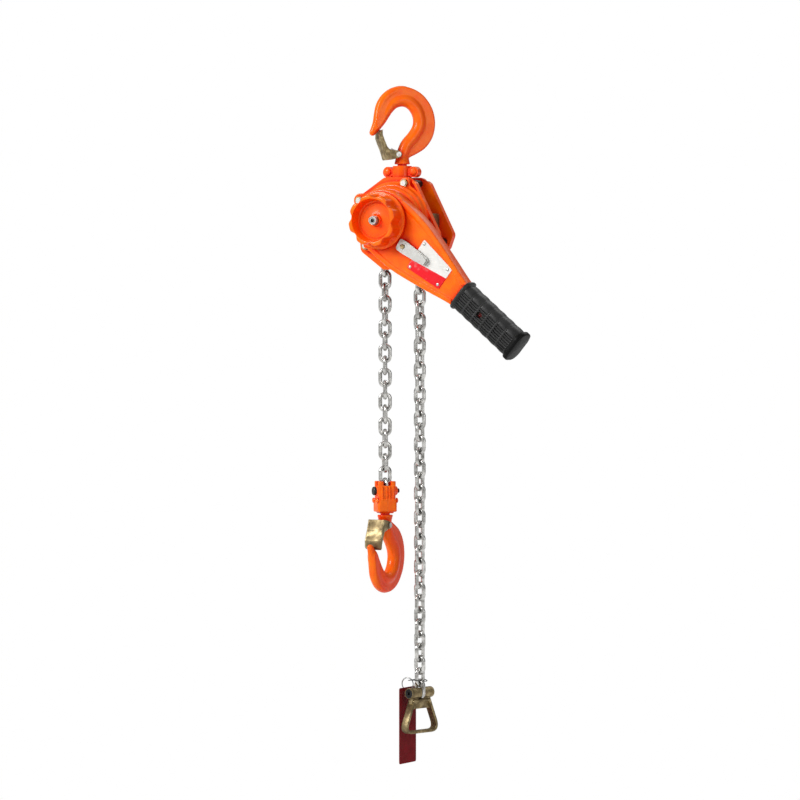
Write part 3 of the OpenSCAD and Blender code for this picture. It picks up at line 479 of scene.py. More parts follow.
def melted(
    name: str, parts: list[bpy.types.Object], grain_mm: float, passes: int
) -> bpy.types.Object:
    """Melt parts into one skin with soft fillets, as a forging or a casting has.

    Args:
        name: The new object's name.
        parts: Objects, which are used up.
        grain_mm: Size of the skin's faces.
        passes: How often the skin is smoothed.

    Returns:
        The melted object.
    """
    whole = joined(name, parts)
    melt = whole.modifiers.new("melt", "REMESH")
    melt.mode = "VOXEL"
    melt.voxel_size = grain_mm * MM
    soften = whole.modifiers.new("soften", "SMOOTH")
    soften.factor = 0.5
    soften.iterations = passes
    return joined(name, [whole])


def swung(at: Point, degrees: float, spot: Point) -> Point:
    """Turn a place about the upright axis and carry it to another one.

    Args:
        at: Where the axis goes.
        degrees: The turn, anticlockwise from above.
        spot: The place before both.

    Returns:
        The place after both.
    """
    turn = math.radians(degrees)
    x, y, z = spot
    return (
        at[0] + x * math.cos(turn) - y * math.sin(turn),
        at[1] + x * math.sin(turn) + y * math.cos(turn),
        at[2] + z,
    )


def held_in(obj: bpy.types.Object, node: str) -> None:
    """Keep a piece inside the box of the construction node that it stands for.

    Args:
        obj: The piece.
        node: The node's name.
    """
    low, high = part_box(node)
    for vertex in obj.data.vertices:
        vertex.co = [min(max(c, a), b) for c, a, b in zip(vertex.co, low, high)]


def on_shaft(radius: float, turn: float, depth: float) -> Point:
    """Return the place at a radius and an angle round the drive shaft."""
    return (radius * math.cos(turn), depth, SHAFT_Z + radius * math.sin(turn))


def through(values: list[float], at: float) -> float:
    """Read a smooth curve through values.

    Args:
        values: Values at 0, 1, 2 and on.
        at: Where to read it.

    Returns:
        The value there.
    """
    last = len(values) - 1
    i = min(int(at), last - 1)
    t = at - i
    p = [values[max(0, min(last, i + k))] for k in (-1, 0, 1, 2)]
    return 0.5 * (
        2 * p[1]
        + (p[2] - p[0]) * t
        + (2 * p[0] - 5 * p[1] + 4 * p[2] - p[3]) * t**2
        + (3 * p[1] - p[0] - 3 * p[2] + p[3]) * t**3
    )


class Skin:
    """A material under way: its tree, its shader and the object's own coordinates."""

    def __init__(self, name: str, **shader: object) -> None:
        """Start a material whose constant values sit on the shader's own sockets.

        Args:
            name: The material's name.
            shader: Shader values by socket name, with underscores for spaces.
        """
        self.material = bpy.data.materials.new(name)
        self.material.use_nodes = True
        self.tree = self.material.node_tree
        self.shader = self.tree.nodes["Principled BSDF"]
        for socket, value in shader.items():
            self.shader.inputs[socket.replace("_", " ")].default_value = value
        own = add_node(self.tree, "ShaderNodeTexCoord")
        self.place = {0: own.outputs["Object"]}
        self.facing = {0: own.outputs["Normal"]}

    def add(
        self,
        kind: str,
        links: dict[str | int, Socket] | None = None,
        out: str | int = 0,
        **settings: object,
    ) -> Socket:
        """Add one node to the material.

        Args:
            kind: The node's type name.
            links: Sockets of earlier nodes, by the input they feed.
            out: The wanted output.
            settings: The node's settings, as add_node takes them.

        Returns:
            The wanted output.
        """
        return add_node(self.tree, kind, links, **settings).outputs[out]

    def edges(self, width_mm: float) -> Socket:
        """Tell sharp edges from flats, by how far a rounded normal leans from the true one.

        Args:
            width_mm: Width of the band along an edge.

        Returns:
            0 on flats and 1 along sharp edges.
        """
        soft = self.add("ShaderNodeBevel", samples=4, in_0=width_mm * MM)
        true = self.add("ShaderNodeNewGeometry", out="Normal")
        turned = self.add(VECTORS, {0: soft, 1: true}, "Value", operation="DOT_PRODUCT")
        return self.add(RANGE, {0: turned}, **limits((0.995, 0.80), (0.0, 1.0)))

    def relief(self, layers: list[tuple[Socket, float, float]]) -> None:
        """Stack bumps on the shader.

        Args:
            layers: Height, strength and depth in millimetres of each, the coarse one first.
        """
        links = {}
        for height, strength, depth in layers:
            links["Height"] = height
            bump = self.add("ShaderNodeBump", links, in_0=strength, in_1=depth * MM)
            links = {"Normal": bump}
        self.feed("Normal", links["Normal"])

    def feed(self, socket: str, source: Socket) -> None:
        """Link source to the shader's socket."""
        self.tree.links.new(source, self.shader.inputs[socket])


@dataclass(frozen=True)
class Enamel:
    """Stoving enamel sprayed on pressed, cast or forged steel: rich, glossy, slightly wavy, with
    painted shade.
    """

    name: str = "stoving enamel, sprayed"
    colour: str = "#ff6e00"
    thin: str = "#ff5f00"
    # Painted shade colour for recesses and for faces turned from the key lamp.
    shade_red: str = "#ee1200"
    # Paler orange for sharp edges: partly wear, partly painted highlight.
    pale_wear_and_highlight: str = "#ff9448"
    flow_mm: float = 14.0
    peel_mm: float = 2.4
    casting: float = 0.0
    gloss: float = 0.34
    # Painted shade: the occlusion range for recesses, the key lamp's direction and the facing range
    # of unlit sides.
    shade_in_hollows: Flat = (0.95, 0.56)
    key_lamp_way: Point = (-0.454, -0.757, 0.469)
    unlit_range: Flat = (0.16, -0.42)

    def build(self) -> bpy.types.Material:
        """Make the enamel: painted shade turns recesses and faces away from the key lamp dark red,
        and sharp edges turn paler as wear and painted highlight.

        Returns:
            The material.
        """
        skin = Skin(
            self.name, Coat_Weight=0.18, Coat_Roughness=0.08, IOR=1.5, Specular_IOR_Level=0.14
        )
        flow = skin.add(NOISE, skin.place, **lumps(self.flow_mm))
        # Spray builds up unevenly, so the colour drifts a little over a finger's width.
        stops = [(0.3, linear(self.thin)), (0.62, linear(self.colour))]
        body = skin.add(RAMP, {0: flow}, stops=stops)
        # Painted shade: recesses and creases that ambient occlusion finds mix towards shade_red.
        hollow = skin.add(
            "ShaderNodeAmbientOcclusion", out="AO", samples=6, only_local=False, in_1=0.026
        )
        hollow_shade = skin.add(RANGE, {0: hollow}, **limits(self.shade_in_hollows, (0.0, 0.95)))
        # Painted shade: faces turned from the key lamp at the front left mix up to 62% towards
        # shade_red.
        key_facing = skin.add(VECTORS, skin.facing, "Value", operation="DOT_PRODUCT", in_1=self.key_lamp_way)
        away = skin.add(RANGE, {0: key_facing}, **limits(self.unlit_range, (0.0, 0.62)))
        painted_shade = skin.add(MATHS, {0: hollow_shade, 1: away}, operation="MAXIMUM")
        body = skin.add(MIX, {0: painted_shade, 6: body}, 2, data_type="RGBA", in_7=linear(self.shade_red))
        # Sharp edges turn paler orange in patches: partly wear, partly a painted highlight.
        rims = skin.edges(0.9)
        spots = skin.add(NOISE, skin.place, **lumps(3.0, 4.0))
        spots = skin.add(RANGE, {0: spots}, **limits((0.42, 0.62), (0.0, 0.8)))
        wear_and_highlight_mask = skin.add(MATHS, {0: rims, 1: spots}, operation="MULTIPLY")
        body = skin.add(MIX, {0: wear_and_highlight_mask, 6: body}, 2, data_type="RGBA", in_7=linear(self.pale_wear_and_highlight))
        skin.feed("Base Color", body)
        dull = (self.gloss + 0.06, self.gloss - 0.04)
        skin.feed("Roughness", skin.add(RANGE, {0: flow}, **limits((0.3, 0.7), dull)))
        # Orange peel of 1 mm is under a pixel here, so it is drawn at 2.4 mm and kept faint.
        layers = [(skin.add(NOISE, skin.place, **lumps(self.peel_mm, 1.0)), 0.06, 0.2)]
        if self.casting:
            sand = skin.add(NOISE, skin.place, **lumps(5.0, 4.0))
            layers.insert(0, (sand, self.casting, 0.5))
        skin.relief(layers)
        return skin.material


@dataclass(frozen=True)
class Plating:
    """Electroplated zinc over steel, bright or passivated: metallic, clouded, softly scratched."""

    name: str
    colour: str
    cloud: str
    dark: str
    roughness: float = 0.3
    cloud_mm: float = 7.0
    scratch_mm: float = 1.2
    wear: float = 0.6
    drift: Flat = (0.12, -0.06)

    def build(self) -> bpy.types.Material:
        """Make the plating, darker in its clouds and rubbed bright on its edges.

        Returns:
            The material.
        """
        skin = Skin(self.name, Metallic=1.0)
        cloud = skin.add(NOISE, skin.place, **lumps(self.cloud_mm, 3.0))
        best = linear(self.colour)
        stops = [(0.28, linear(self.dark)), (0.48, linear(self.cloud)), (0.66, best)]
        tone = skin.add(RAMP, {0: cloud}, stops=stops)
        tone = skin.add(MIX, {0: skin.edges(0.7), 6: tone}, 2, data_type="RGBA", in_7=best)
        skin.feed("Base Color", tone)
        dull = (self.roughness + self.drift[0], self.roughness + self.drift[1])
        skin.feed("Roughness", skin.add(RANGE, {0: cloud}, **limits((0.3, 0.7), dull)))
        # Scratches of the barrel are drawn out along the piece's height.
        drawn = skin.add("ShaderNodeMapping", skin.place, in_3=(1.0, 1.0, 0.12))
        fine = skin.add(NOISE, {0: drawn}, **lumps(self.scratch_mm))
        skin.relief([(fine, 0.12 * self.wear, 0.15)])
        return skin.material


@dataclass(frozen=True)
class Machined:
    """Turned or milled steel with an oil film: bright, with faint arcs about the frame's origin."""

    name: str = "machined alloy steel, oiled"
    colour: str = "#a2a19e"
    dark: str = "#6c6a66"
    radian_mm: float = 1.1
    roughness: float = 0.32

    def build(self) -> bpy.types.Material:
        """Make the steel. Real feed marks are too fine to show, so these arcs stand 6.9 mm apart.

        Returns:
            The material.
        """
        skin = Skin(self.name, Metallic=1.0)
        film = skin.add(NOISE, skin.place, **lumps(14.0, 3.0))
        stops = [(0.3, linear(self.dark)), (0.6, linear(self.colour))]
        skin.feed("Base Color", skin.add(RAMP, {0: film}, stops=stops))
        # The wave turns 20 radians over one unit of its scale, and one ring is a full turn of it.
        # Its rings are centred on the frame's origin, so near the shaft they pass as arcs.
        rings = skin.add(
            "ShaderNodeTexWave",
            skin.place,
            "Fac",
            wave_type="RINGS",
            rings_direction="Y",
            in_1=per_metre(self.radian_mm * 20),
        )
        dull = (self.roughness + 0.1, self.roughness)
        skin.feed("Roughness", skin.add(RANGE, {0: film}, **limits((0.3, 0.7), dull)))
        fine = skin.add(NOISE, skin.place, **lumps(0.8))
        skin.relief([(rings, 0.06, 0.1), (fine, 0.05, 0.1)])
        return skin.material


@dataclass(frozen=True)
class DarkCoat:
    """Oil-blacked, lined, moulded or sintered parts: dark or dull, with an even fine grain."""

    name: str
    colour: str
    lighter: str
    metallic: float = 0.0
    roughness: float = 0.5
    grain_mm: float = 1.5
    depth: float = 0.2
    gloss: float = 0.35
    # Painted shade: past this distance along the lever the grip's end face is drawn near black;
    # None leaves it out.
    capped: float | None = None
    end_shade: str = "#0b0b0b"

    def build(self) -> bpy.types.Material:
        """Make the coat, rubbed lighter on its edges; past capped along the lever it is painted
        shade, near black with a weaker specular.

        Returns:
            The material.
        """
        skin = Skin(self.name, Metallic=self.metallic, Specular_IOR_Level=self.gloss)
        rubbed = {"data_type": "RGBA", "in_7": linear(self.lighter)}
        grain = skin.add(NOISE, skin.place, **lumps(self.grain_mm, 4.0))
        patches = skin.add(NOISE, skin.place, **lumps(11.0))
        patches = skin.add(RANGE, {0: patches}, **limits((0.35, 0.7), (0.0, 0.45)))
        body = skin.add(MIX, {0: patches}, 2, in_6=linear(self.colour), **rubbed)
        body = skin.add(MIX, {0: skin.edges(0.8), 6: body}, 2, **rubbed)
        # Painted shade: the grip's end face, turned from the key lamp, is drawn near black in
        # end_shade with less specular.
        if self.capped is not None:
            fall = math.radians(LEVER_FALL)
            way = (math.cos(fall), 0.0, -math.sin(fall))
            along = skin.add(VECTORS, skin.place, "Value", operation="DOT_PRODUCT", in_1=way)
            start = (self.capped - SHAFT_Z * math.sin(fall)) * MM
            beyond = skin.add(RANGE, {0: along}, **limits((start, start + 0.6 * MM), (0.0, 1.0)))
            body = skin.add(MIX, {0: beyond, 6: body}, 2, data_type="RGBA", in_7=linear(self.end_shade))
            level = skin.add(RANGE, {0: beyond}, **limits((0.0, 1.0), (self.gloss, 0.1)))
            skin.feed("Specular IOR Level", level)
        skin.feed("Base Color", body)
        dull = (self.roughness - 0.08, self.roughness + 0.1)
        skin.feed("Roughness", skin.add(RANGE, {0: grain}, **limits((0.3, 0.7), dull)))
        skin.relief([(grain, self.depth, 0.25)])
        return skin.material


@dataclass(frozen=True)
class Print:
    """Screen printed aluminium sheet: a white field over a red one, satin, lightly rubbed."""

    name: str = "screen printed aluminium sheet"
    white: str = "#e4e2de"
    red: str = "#e00a1c"
    rubbed: str = "#c9c6c2"
    border: float = 0.3
    lean: float = 14.0
    split: float = -28.6

    def build(self) -> bpy.types.Material:
        """Make the print, whose two fields meet along the lever and carry no words.

        Returns:
            The material.
        """
        skin = Skin(self.name, IOR=1.5, Specular_IOR_Level=0.3)
        turn = math.radians(LEVER_FALL - self.lean)
        way = (math.sin(turn), 0.0, math.cos(turn))
        level = skin.add(VECTORS, skin.place, "Value", operation="DOT_PRODUCT", in_1=way)
        seam = (SHAFT_Z * math.cos(turn) + self.split) * MM
        edge = self.border * MM
        lower = skin.add(RANGE, {0: level}, **limits((seam + edge, seam - edge), (0.0, 1.0)))
        inks = {"in_6": linear(self.white), "in_7": linear(self.red)}
        ink = skin.add(MIX, {0: lower}, 2, data_type="RGBA", **inks)
        # Hands rub the ink thin in patches of about a fingertip.
        handled = skin.add(NOISE, skin.place, **lumps(12.0, 5.0))
        handled = skin.add(RANGE, {0: handled}, **limits((0.55, 0.8), (0.0, 0.35)))
        ink = skin.add(MIX, {0: handled, 6: ink}, 2, data_type="RGBA", in_7=linear(self.rubbed))
        skin.feed("Base Color", ink)
        satin = skin.add(NOISE, skin.place, **lumps(6.0, 3.0))
        skin.feed("Roughness", skin.add(RANGE, {0: satin}, **limits((0.3, 0.7), (0.42, 0.30))))
        skin.relief([(skin.add(NOISE, skin.place, **lumps(1.6)), 0.05, 0.1)])
        return skin.material


class Slot(Enum):
    """The record's finishes."""

    ORANGE = "orange_paint"
    WHEEL = "wheel_paint"
    BRIGHT = "bright_zinc"
    YELLOW = "yellow_zinc"
    CHAIN = "chain_steel"
    MACHINED = "machined_steel"
    BLACK = "black_steel"
    BRONZE = "bronze"
    LINING = "lining"
    SPRING = "spring_steel"
    RUBBER = "grip_rubber"
    PLATE = "plate_print"
    TAG = "tag_card"
    CORD = "cord_black"


FINISHES = {
    Slot.ORANGE: Enamel(name="stoving enamel, sprayed on steel plate"),
    # The wheel's recesses take weaker painted shade.
    Slot.WHEEL: Enamel(
        name="stoving enamel, sprayed on an iron casting", casting=0.06, shade_in_hollows=(0.80, 0.30)
    ),
    Slot.BRIGHT: Plating("bright zinc, barrel plated", "#c6c5c2", "#b9b8b4", "#a3a19d", 0.34),
    Slot.YELLOW: Plating(
        "yellow passivated zinc", "#b3a27b", "#8b7a59", "#6b5c45", 0.5, 9.0, 1.2, 0.2, (0.04, -0.03)
    ),
    Slot.CHAIN: Plating("welded chain, bright plated", "#dddcd9", "#bcbab7", "#85837f", 0.22),
    Slot.MACHINED: Machined(),
    Slot.BLACK: DarkCoat("oil-blacked steel", "#1c1c1e", "#4a4a4c", 0.7, 0.38),
    Slot.BRONZE: DarkCoat("sintered bronze", "#9a7440", "#c9a568", 1.0, 0.42),
    Slot.LINING: DarkCoat("pressed friction lining", "#47392f", "#6a5a4c", 0.0, 0.8, 0.9, 0.4),
    Slot.SPRING: Plating("drawn spring wire", "#b9b9b8", "#9a9a99", "#6e6e6e", 0.3),
    # Past 277.6 mm along the lever the grip's end face is painted shade, near black.
    Slot.RUBBER: DarkCoat(
        "moulded nitrile rubber", "#1a1b1a", "#343634", 0.0, 0.40, 2.4, 0.05, 0.3, 277.6
    ),
    Slot.PLATE: Print(),
    Slot.TAG: DarkCoat("varnished card", "#6e0a12", "#8c1018", 0.0, 0.6, 2.0, 0.05, 0.08),
    Slot.CORD: DarkCoat("braided polyester cord", "#181818", "#3a3a3a", 0.0, 0.75, 0.8, 0.5),
}

NODE_SLOTS = {s["node"]: Slot(s["material_slot"]) for s in frame["record"]["subparts"]}
PIECE_SLOTS: dict[str, Slot] = {}


def stand_in(piece: bpy.types.Object, node: str, body: str, slot: Slot) -> bpy.types.Object:
    """Let a piece stand for a construction node.

    Args:
        piece: The piece.
        node: The node that it replaces.
        body: The body that it rides on.
        slot: The record's finish that it takes.

    Returns:
        The same piece.
    """
    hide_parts(node)
    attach(piece, body)
    PIECE_SLOTS[piece.name] = slot
    return piece


@dataclass
class Studio:
    """The camera, the plain pale floor and the soft lamps."""

    distance: float = 6.5
    azimuth: float = 28.0
    middle: float = -0.4128
    lens: float = 198.9
    drop: float = 1.5
    sway: float = 0.0286
    floor_z: float = -1.32
    lamps: list[tuple[Point, float, float]] = field(
        default_factory=lambda: [
            ((-1.5, -2.5, 1.2), 1.4, 92.0),
            ((2.5, -1.5, 0.3), 1.3, 13.0),
            ((0.4, 1.9, 1.6), 1.4, 9.0),
        ]
    )
    aim: Point = (0.0, 0.0, -0.35)
    sky: tuple[Flat, ...] = ((0.0, 0.42), (0.12, 0.20), (0.42, 0.28), (0.75, 0.66))
    fill: float = 0.40

    def build(self) -> None:
        """Make the camera, floor, lamps and world."""
        self.camera()
        self.floor()
        self.light()
        self.world()
        bpy.context.scene.view_settings.view_transform = "Standard"

    def camera(self) -> None:
        """Stand the camera level with the middle of the hoist, a little to its right."""
        turn = math.radians(self.azimuth)
        data = bpy.data.cameras.new("camera")
        data.lens = self.lens
        data.sensor_width = 36.0
        data.clip_end = 60.0
        made = bpy.data.objects.new("camera", data)
        rise = self.distance * math.tan(math.radians(self.drop))
        made.location = (
            self.distance * math.sin(turn),
            -self.distance * math.cos(turn),
            self.middle + rise,
        )
        made.rotation_euler = (
            math.radians(90 - self.drop),
            0.0,
            math.radians(self.azimuth + self.sway),
        )
        bpy.context.scene.collection.objects.link(made)
        bpy.context.scene.camera = made

    def floor(self) -> None:
        """Lay a wide pale floor that keeps the hoist's soft shadow."""
        mesh = bpy.data.meshes.new("floor")
        side = 30.0
        z = self.floor_z
        corners = [(-side, -side, z), (side, -side, z), (side, side, z), (-side, side, z)]
        mesh.from_pydata(corners, [], [(0, 1, 2, 3)])
        made = bpy.data.objects.new("floor", mesh)
        bpy.context.scene.collection.objects.link(made)
        skin = Skin("matt white studio floor", Roughness=0.9)
        skin.shader.inputs["Base Color"].default_value = linear("#f4f4f4")
        skin.shader.inputs["Specular IOR Level"].default_value = 0.0
        glow = skin.add("ShaderNodeEmission", in_0=WHITE, in_1=1.0)
        seen = self.seen(skin)
        away = skin.add(VECTORS, skin.place, "Value", operation="LENGTH")
        # The floor melts into the white backdrop away from the hoist, like a studio sweep.
        away = skin.add(RANGE, {0: away}, **limits((1.2, 2.6), (0.72, 1.0)))
        share = skin.add(MATHS, {0: seen, 1: away}, operation="MULTIPLY")
        mixed = skin.add(CHOICE, {0: share, 1: skin.shader.outputs[0], 2: glow})
        skin.tree.links.new(mixed, skin.tree.nodes["Material Output"].inputs[0])
        mesh.materials.append(skin.material)

    @staticmethod
    def seen(skin: Skin) -> Socket:
        """Tell the rays that should meet a plain white floor from the rest.

        Args:
            skin: The floor's material.

        Returns:
            1 for camera, glossy and transmission rays and 0 for the rest.
        """
        rays = add_node(skin.tree, RAYS).outputs
        pair = {0: rays["Is Camera Ray"], 1: rays["Is Glossy Ray"]}
        first = skin.add(MATHS, pair, operation="MAXIMUM")
        pair = {0: first, 1: rays["Is Transmission Ray"]}
        return skin.add(MATHS, pair, operation="MAXIMUM")

    def light(self) -> None:
        """Hang large square lamps round the hoist, all aimed at its middle."""
        for number, (place, side, power) in enumerate(self.lamps, 1):
            data = bpy.data.lights.new(f"softbox {number}", "AREA")
            data.energy = power
            data.size = side
            made = bpy.data.objects.new(f"softbox {number}", data)
            made.location = place
            facing = Vector(self.aim) - Vector(place)
            made.rotation_mode = "QUATERNION"
            made.rotation_quaternion = facing.to_track_quat("-Z", "Y")
            bpy.context.scene.collection.objects.link(made)

    def world(self) -> None:
        """Wrap a white studio round the hoist, dimmer for the light it gives than it looks."""
        world = bpy.data.worlds.new("studio")
        bpy.context.scene.world = world
        world.use_nodes = True
        tree = world.node_tree
        tree.nodes.clear()
        rays = add_node(tree, RAYS).outputs
        way = add_node(tree, "ShaderNodeTexCoord").outputs["Generated"]
        height = add_node(tree, "ShaderNodeSeparateXYZ", {0: way}).outputs[2]
        # Metal sees a bright ceiling, a grey middle and the pale floor, as in a real studio.
        stops = [(at, (level, level, level, 1.0)) for at, level in self.sky]
        sky = add_node(tree, RAMP, {0: height}, stops=stops)
        room = add_node(tree, "ShaderNodeBackground", {0: sky.outputs[0]}, in_1=1.0)
        plain = add_node(tree, "ShaderNodeBackground", in_0=WHITE, in_1=1.0)
        soft = add_node(tree, "ShaderNodeBackground", in_0=WHITE, in_1=self.fill)
        pick = {0: rays["Is Glossy Ray"], 1: soft.outputs[0], 2: room.outputs[0]}
        first = add_node(tree, CHOICE, pick)
        pick = {0: rays["Is Camera Ray"], 1: first.outputs[0], 2: plain.outputs[0]}
        last = add_node(tree, CHOICE, pick)
        add_node(tree, "ShaderNodeOutputWorld", {0: last.outputs[0]})


class Stores:
    """Every material, built once for its slot."""

    def __init__(self) -> None:
        """Build the finishes."""
        self.made = {slot: finish.build() for slot, finish in FINISHES.items()}

    def dress(self, obj: bpy.types.Object, slot: Slot) -> None:
        """Give obj the finish of slot."""
        obj.data.materials.clear()
        obj.data.materials.append(self.made[slot])


@dataclass
class HandWheel:
    """The cast wheel on the front, with finger lobes and a deep dished face."""

    flange: float = 42.0
    crest: float = 38.0
    lobes: int = 8
    scallop: float = 8.0
    scallop_at: float = 41.0
    back: float = -69.0
    front: float = -97.0
    hub_front: float = -85.0
    floor: float = -81.0
    bore: float = 5.08
    steps: int = 288
    phase: float = 15.0

    def rim(self) -> list[float]:
        """Work out the rim with its lobes, eased at their corners.

        Returns:
            One radius for each step round the wheel.
        """
        raw = []
        for i in range(self.steps):
            turn = 360 * i / self.steps - self.phase
            step = 360 / self.lobes
            off = math.radians((turn % step) - step / 2)
            side = self.scallop_at * math.sin(off)
            radius = self.crest
            if abs(side) < self.scallop:
                dip = math.sqrt(self.scallop**2 - side**2)
                radius = min(radius, self.scallop_at * math.cos(off) - dip)
            raw.append(radius)
        for _ in range(3):
            raw = [
                sum(raw[(i + k) % self.steps] for k in (-2, -1, 0, 1, 2)) / 5
                for i in range(self.steps)
            ]
        return raw

    def section(self, rim: float) -> list[Flat]:
        """Draw the wheel's section in one direction.

        Args:
            rim: The rim's radius in that direction.

        Returns:
            Places as radius and depth, from the bore round the front to the back.
        """
        crest = max(32.5, rim - 1.9)
        return [
            (self.bore, self.hub_front),
            (8.0, self.hub_front),
            (8.8, self.hub_front + 0.8),
            (9.0, self.floor - 1.4),
            (9.6, self.floor - 0.4),
            (10.8, self.floor),
            (23.0, self.floor),
            (23.7, self.floor - 0.5),
            (25.1, self.floor - 0.5),
            (25.9, self.floor),
            (27.6, self.floor),
            (28.8, self.floor - 0.8),
            (29.5, self.floor - 2.6),
            (31.2, self.front + 2.6),
            (31.5, self.front + 1.1),
            (31.9, self.front + 0.25),
            (32.4, self.front),
            (crest, self.front),
            (max(crest, rim - 1.2), self.front + 0.35),
            (rim - 0.25, self.front + 1.3),
            (rim, self.front + 2.8),
            (rim, self.back - 9.0),
            (rim + 0.2, self.back - 6.2),
            (rim + 0.9, self.back - 4.7),
            (min(rim + 2.2, 40.6), self.back - 4.1),
            (40.9, self.back - 4.0),
            (41.7, self.back - 3.6),
            (self.flange, self.back - 2.8),
            (self.flange, self.back - 0.8),
            (41.4, self.back),
            (self.bore, self.back),
        ]

    def build(self) -> bpy.types.Object:
        """Loft the wheel from its sections.

        Returns:
            The wheel.
        """
        rings = []
        for i, rim in enumerate(self.rim()):
            turn = 2 * math.pi * i / self.steps
            rings.append([on_shaft(r, turn, y) for r, y in self.section(rim)])
        made = loft("hand_wheel_casting", rings)
        return stand_in(made, "hand_wheel", "hand_wheel", Slot.WHEEL)


@dataclass
class BrakeCover:
    """The domed cover between the frame and the lever, with lugs for three stay bolts."""

    back: float = -22.0
    bore: float = 17.0
    inner: float = 50.5
    lugs: list[tuple[Flat, float, float]] = field(
        default_factory=lambda: [
            ((-49.0, 30.0), 11.0, -39.5),
            ((19.3, 55.0), 8.5, -28.0),
            ((-45.0, -36.0), 8.5, -28.0),
        ]
    )
    skirt: float = 58.0
    cleared: Flat = (-12.0, -60.0)
    clear: float = 53.4
    flat: float = 44.0
    roof: float = -41.5
    shallow: float = -24.0
    flow: float = 3.0
    steps: int = 360
    dome: list[Flat] = field(
        default_factory=lambda: [
            (17.0, -44.0),
            (44.6, -44.0),
            (46.6, -43.5),
            (48.4, -42.4),
            (49.6, -40.8),
            (50.1, -38.8),
            (50.5, -37.2),
            (51.4, -36.3),
            (52.6, -36.1),
            (53.6, -35.3),
            (54.2, -33.6),
            (54.6, -31.0),
            (55.2, -29.2),
            (56.4, -28.2),
            (58.0, -27.6),
            (70.0, -27.0),
        ]
    )

    def edge(self, turn: float) -> float:
        """Find the skirt's edge, drawn in beside a frame bolt and out round the lugs.

        Args:
            turn: The direction, in radians.

        Returns:
            The edge's distance from the shaft.
        """
        away = math.atan2(self.cleared[1], self.cleared[0]) - turn
        away = abs(math.degrees(math.atan2(math.sin(away), math.cos(away))))
        radius = read_off([(8.0, self.clear), (13.0, self.skirt)], away)
        for (x, z), size, _ in self.lugs:
            dist = math.hypot(x, z)
            off = math.atan2(z, x) - turn
            side = dist * math.sin(off)
            if abs(side) < size and math.cos(off) > 0:
                radius = max(radius, dist * math.cos(off) + math.sqrt(size**2 - side**2))
        return radius

    def height(self, x: float, z: float) -> float:
        """Find the outer face over one point, with lugs flowing into the dome.

        Args:
            x: Place across.
            z: Place up.

        Returns:
            The face's depth.
        """
        radius = math.hypot(x, z)
        best = -read_off(self.dome, radius)
        for (lx, lz), size, face in self.lugs:
            away = math.hypot(x - lx, z - lz)
            top = -face
            lug = top if away < size - 1.2 else top - (away - size + 1.2) * 1.6
            gap = (lug - best) / self.flow
            best = best + self.flow * math.log1p(math.exp(gap)) if gap < 30 else lug
        return -best

    def build(self) -> bpy.types.Object:
        """Loft the cover.

        Returns:
            The cover as one closed shell.
        """
        edges = [self.edge(2 * math.pi * i / self.steps) for i in range(self.steps)]
        for _ in range(4):
            edges = [
                sum(edges[(i + k) % self.steps] for k in (-1, 0, 1)) / 3 for i in range(self.steps)
            ]
        radii = [self.bore, 30.0, 43.0] + [self.flat + 0.45 * k for k in range(32)]
        rings = []
        for i, edge in enumerate(edges):
            turn = 2 * math.pi * i / self.steps
            cos, sin = math.cos(turn), math.sin(turn)
            ring = []
            for k, radius in enumerate(radii):
                if radius > self.flat:
                    radius = self.flat + (edge - 0.9 - self.flat) * (k - 3) / (len(radii) - 4)
                depth = min(self.height(radius * cos, radius * sin), self.shallow)
                ring.append(on_shaft(radius, turn, depth))
            last = ring[-1][1]
            rest = [
                (edge - 0.25, last + 0.4),
                (edge, last + 1.2),
                (edge, self.back),
                (self.inner, self.back),
                (self.inner, self.roof + 5.5),
                (self.flat + 0.5, self.roof),
                (self.bore, self.roof),
            ]
            rings.append(ring + [on_shaft(radius, turn, depth) for radius, depth in rest])
        return stand_in(loft("brake_cover_pressing", rings), "brake_cover", "frame", Slot.ORANGE)


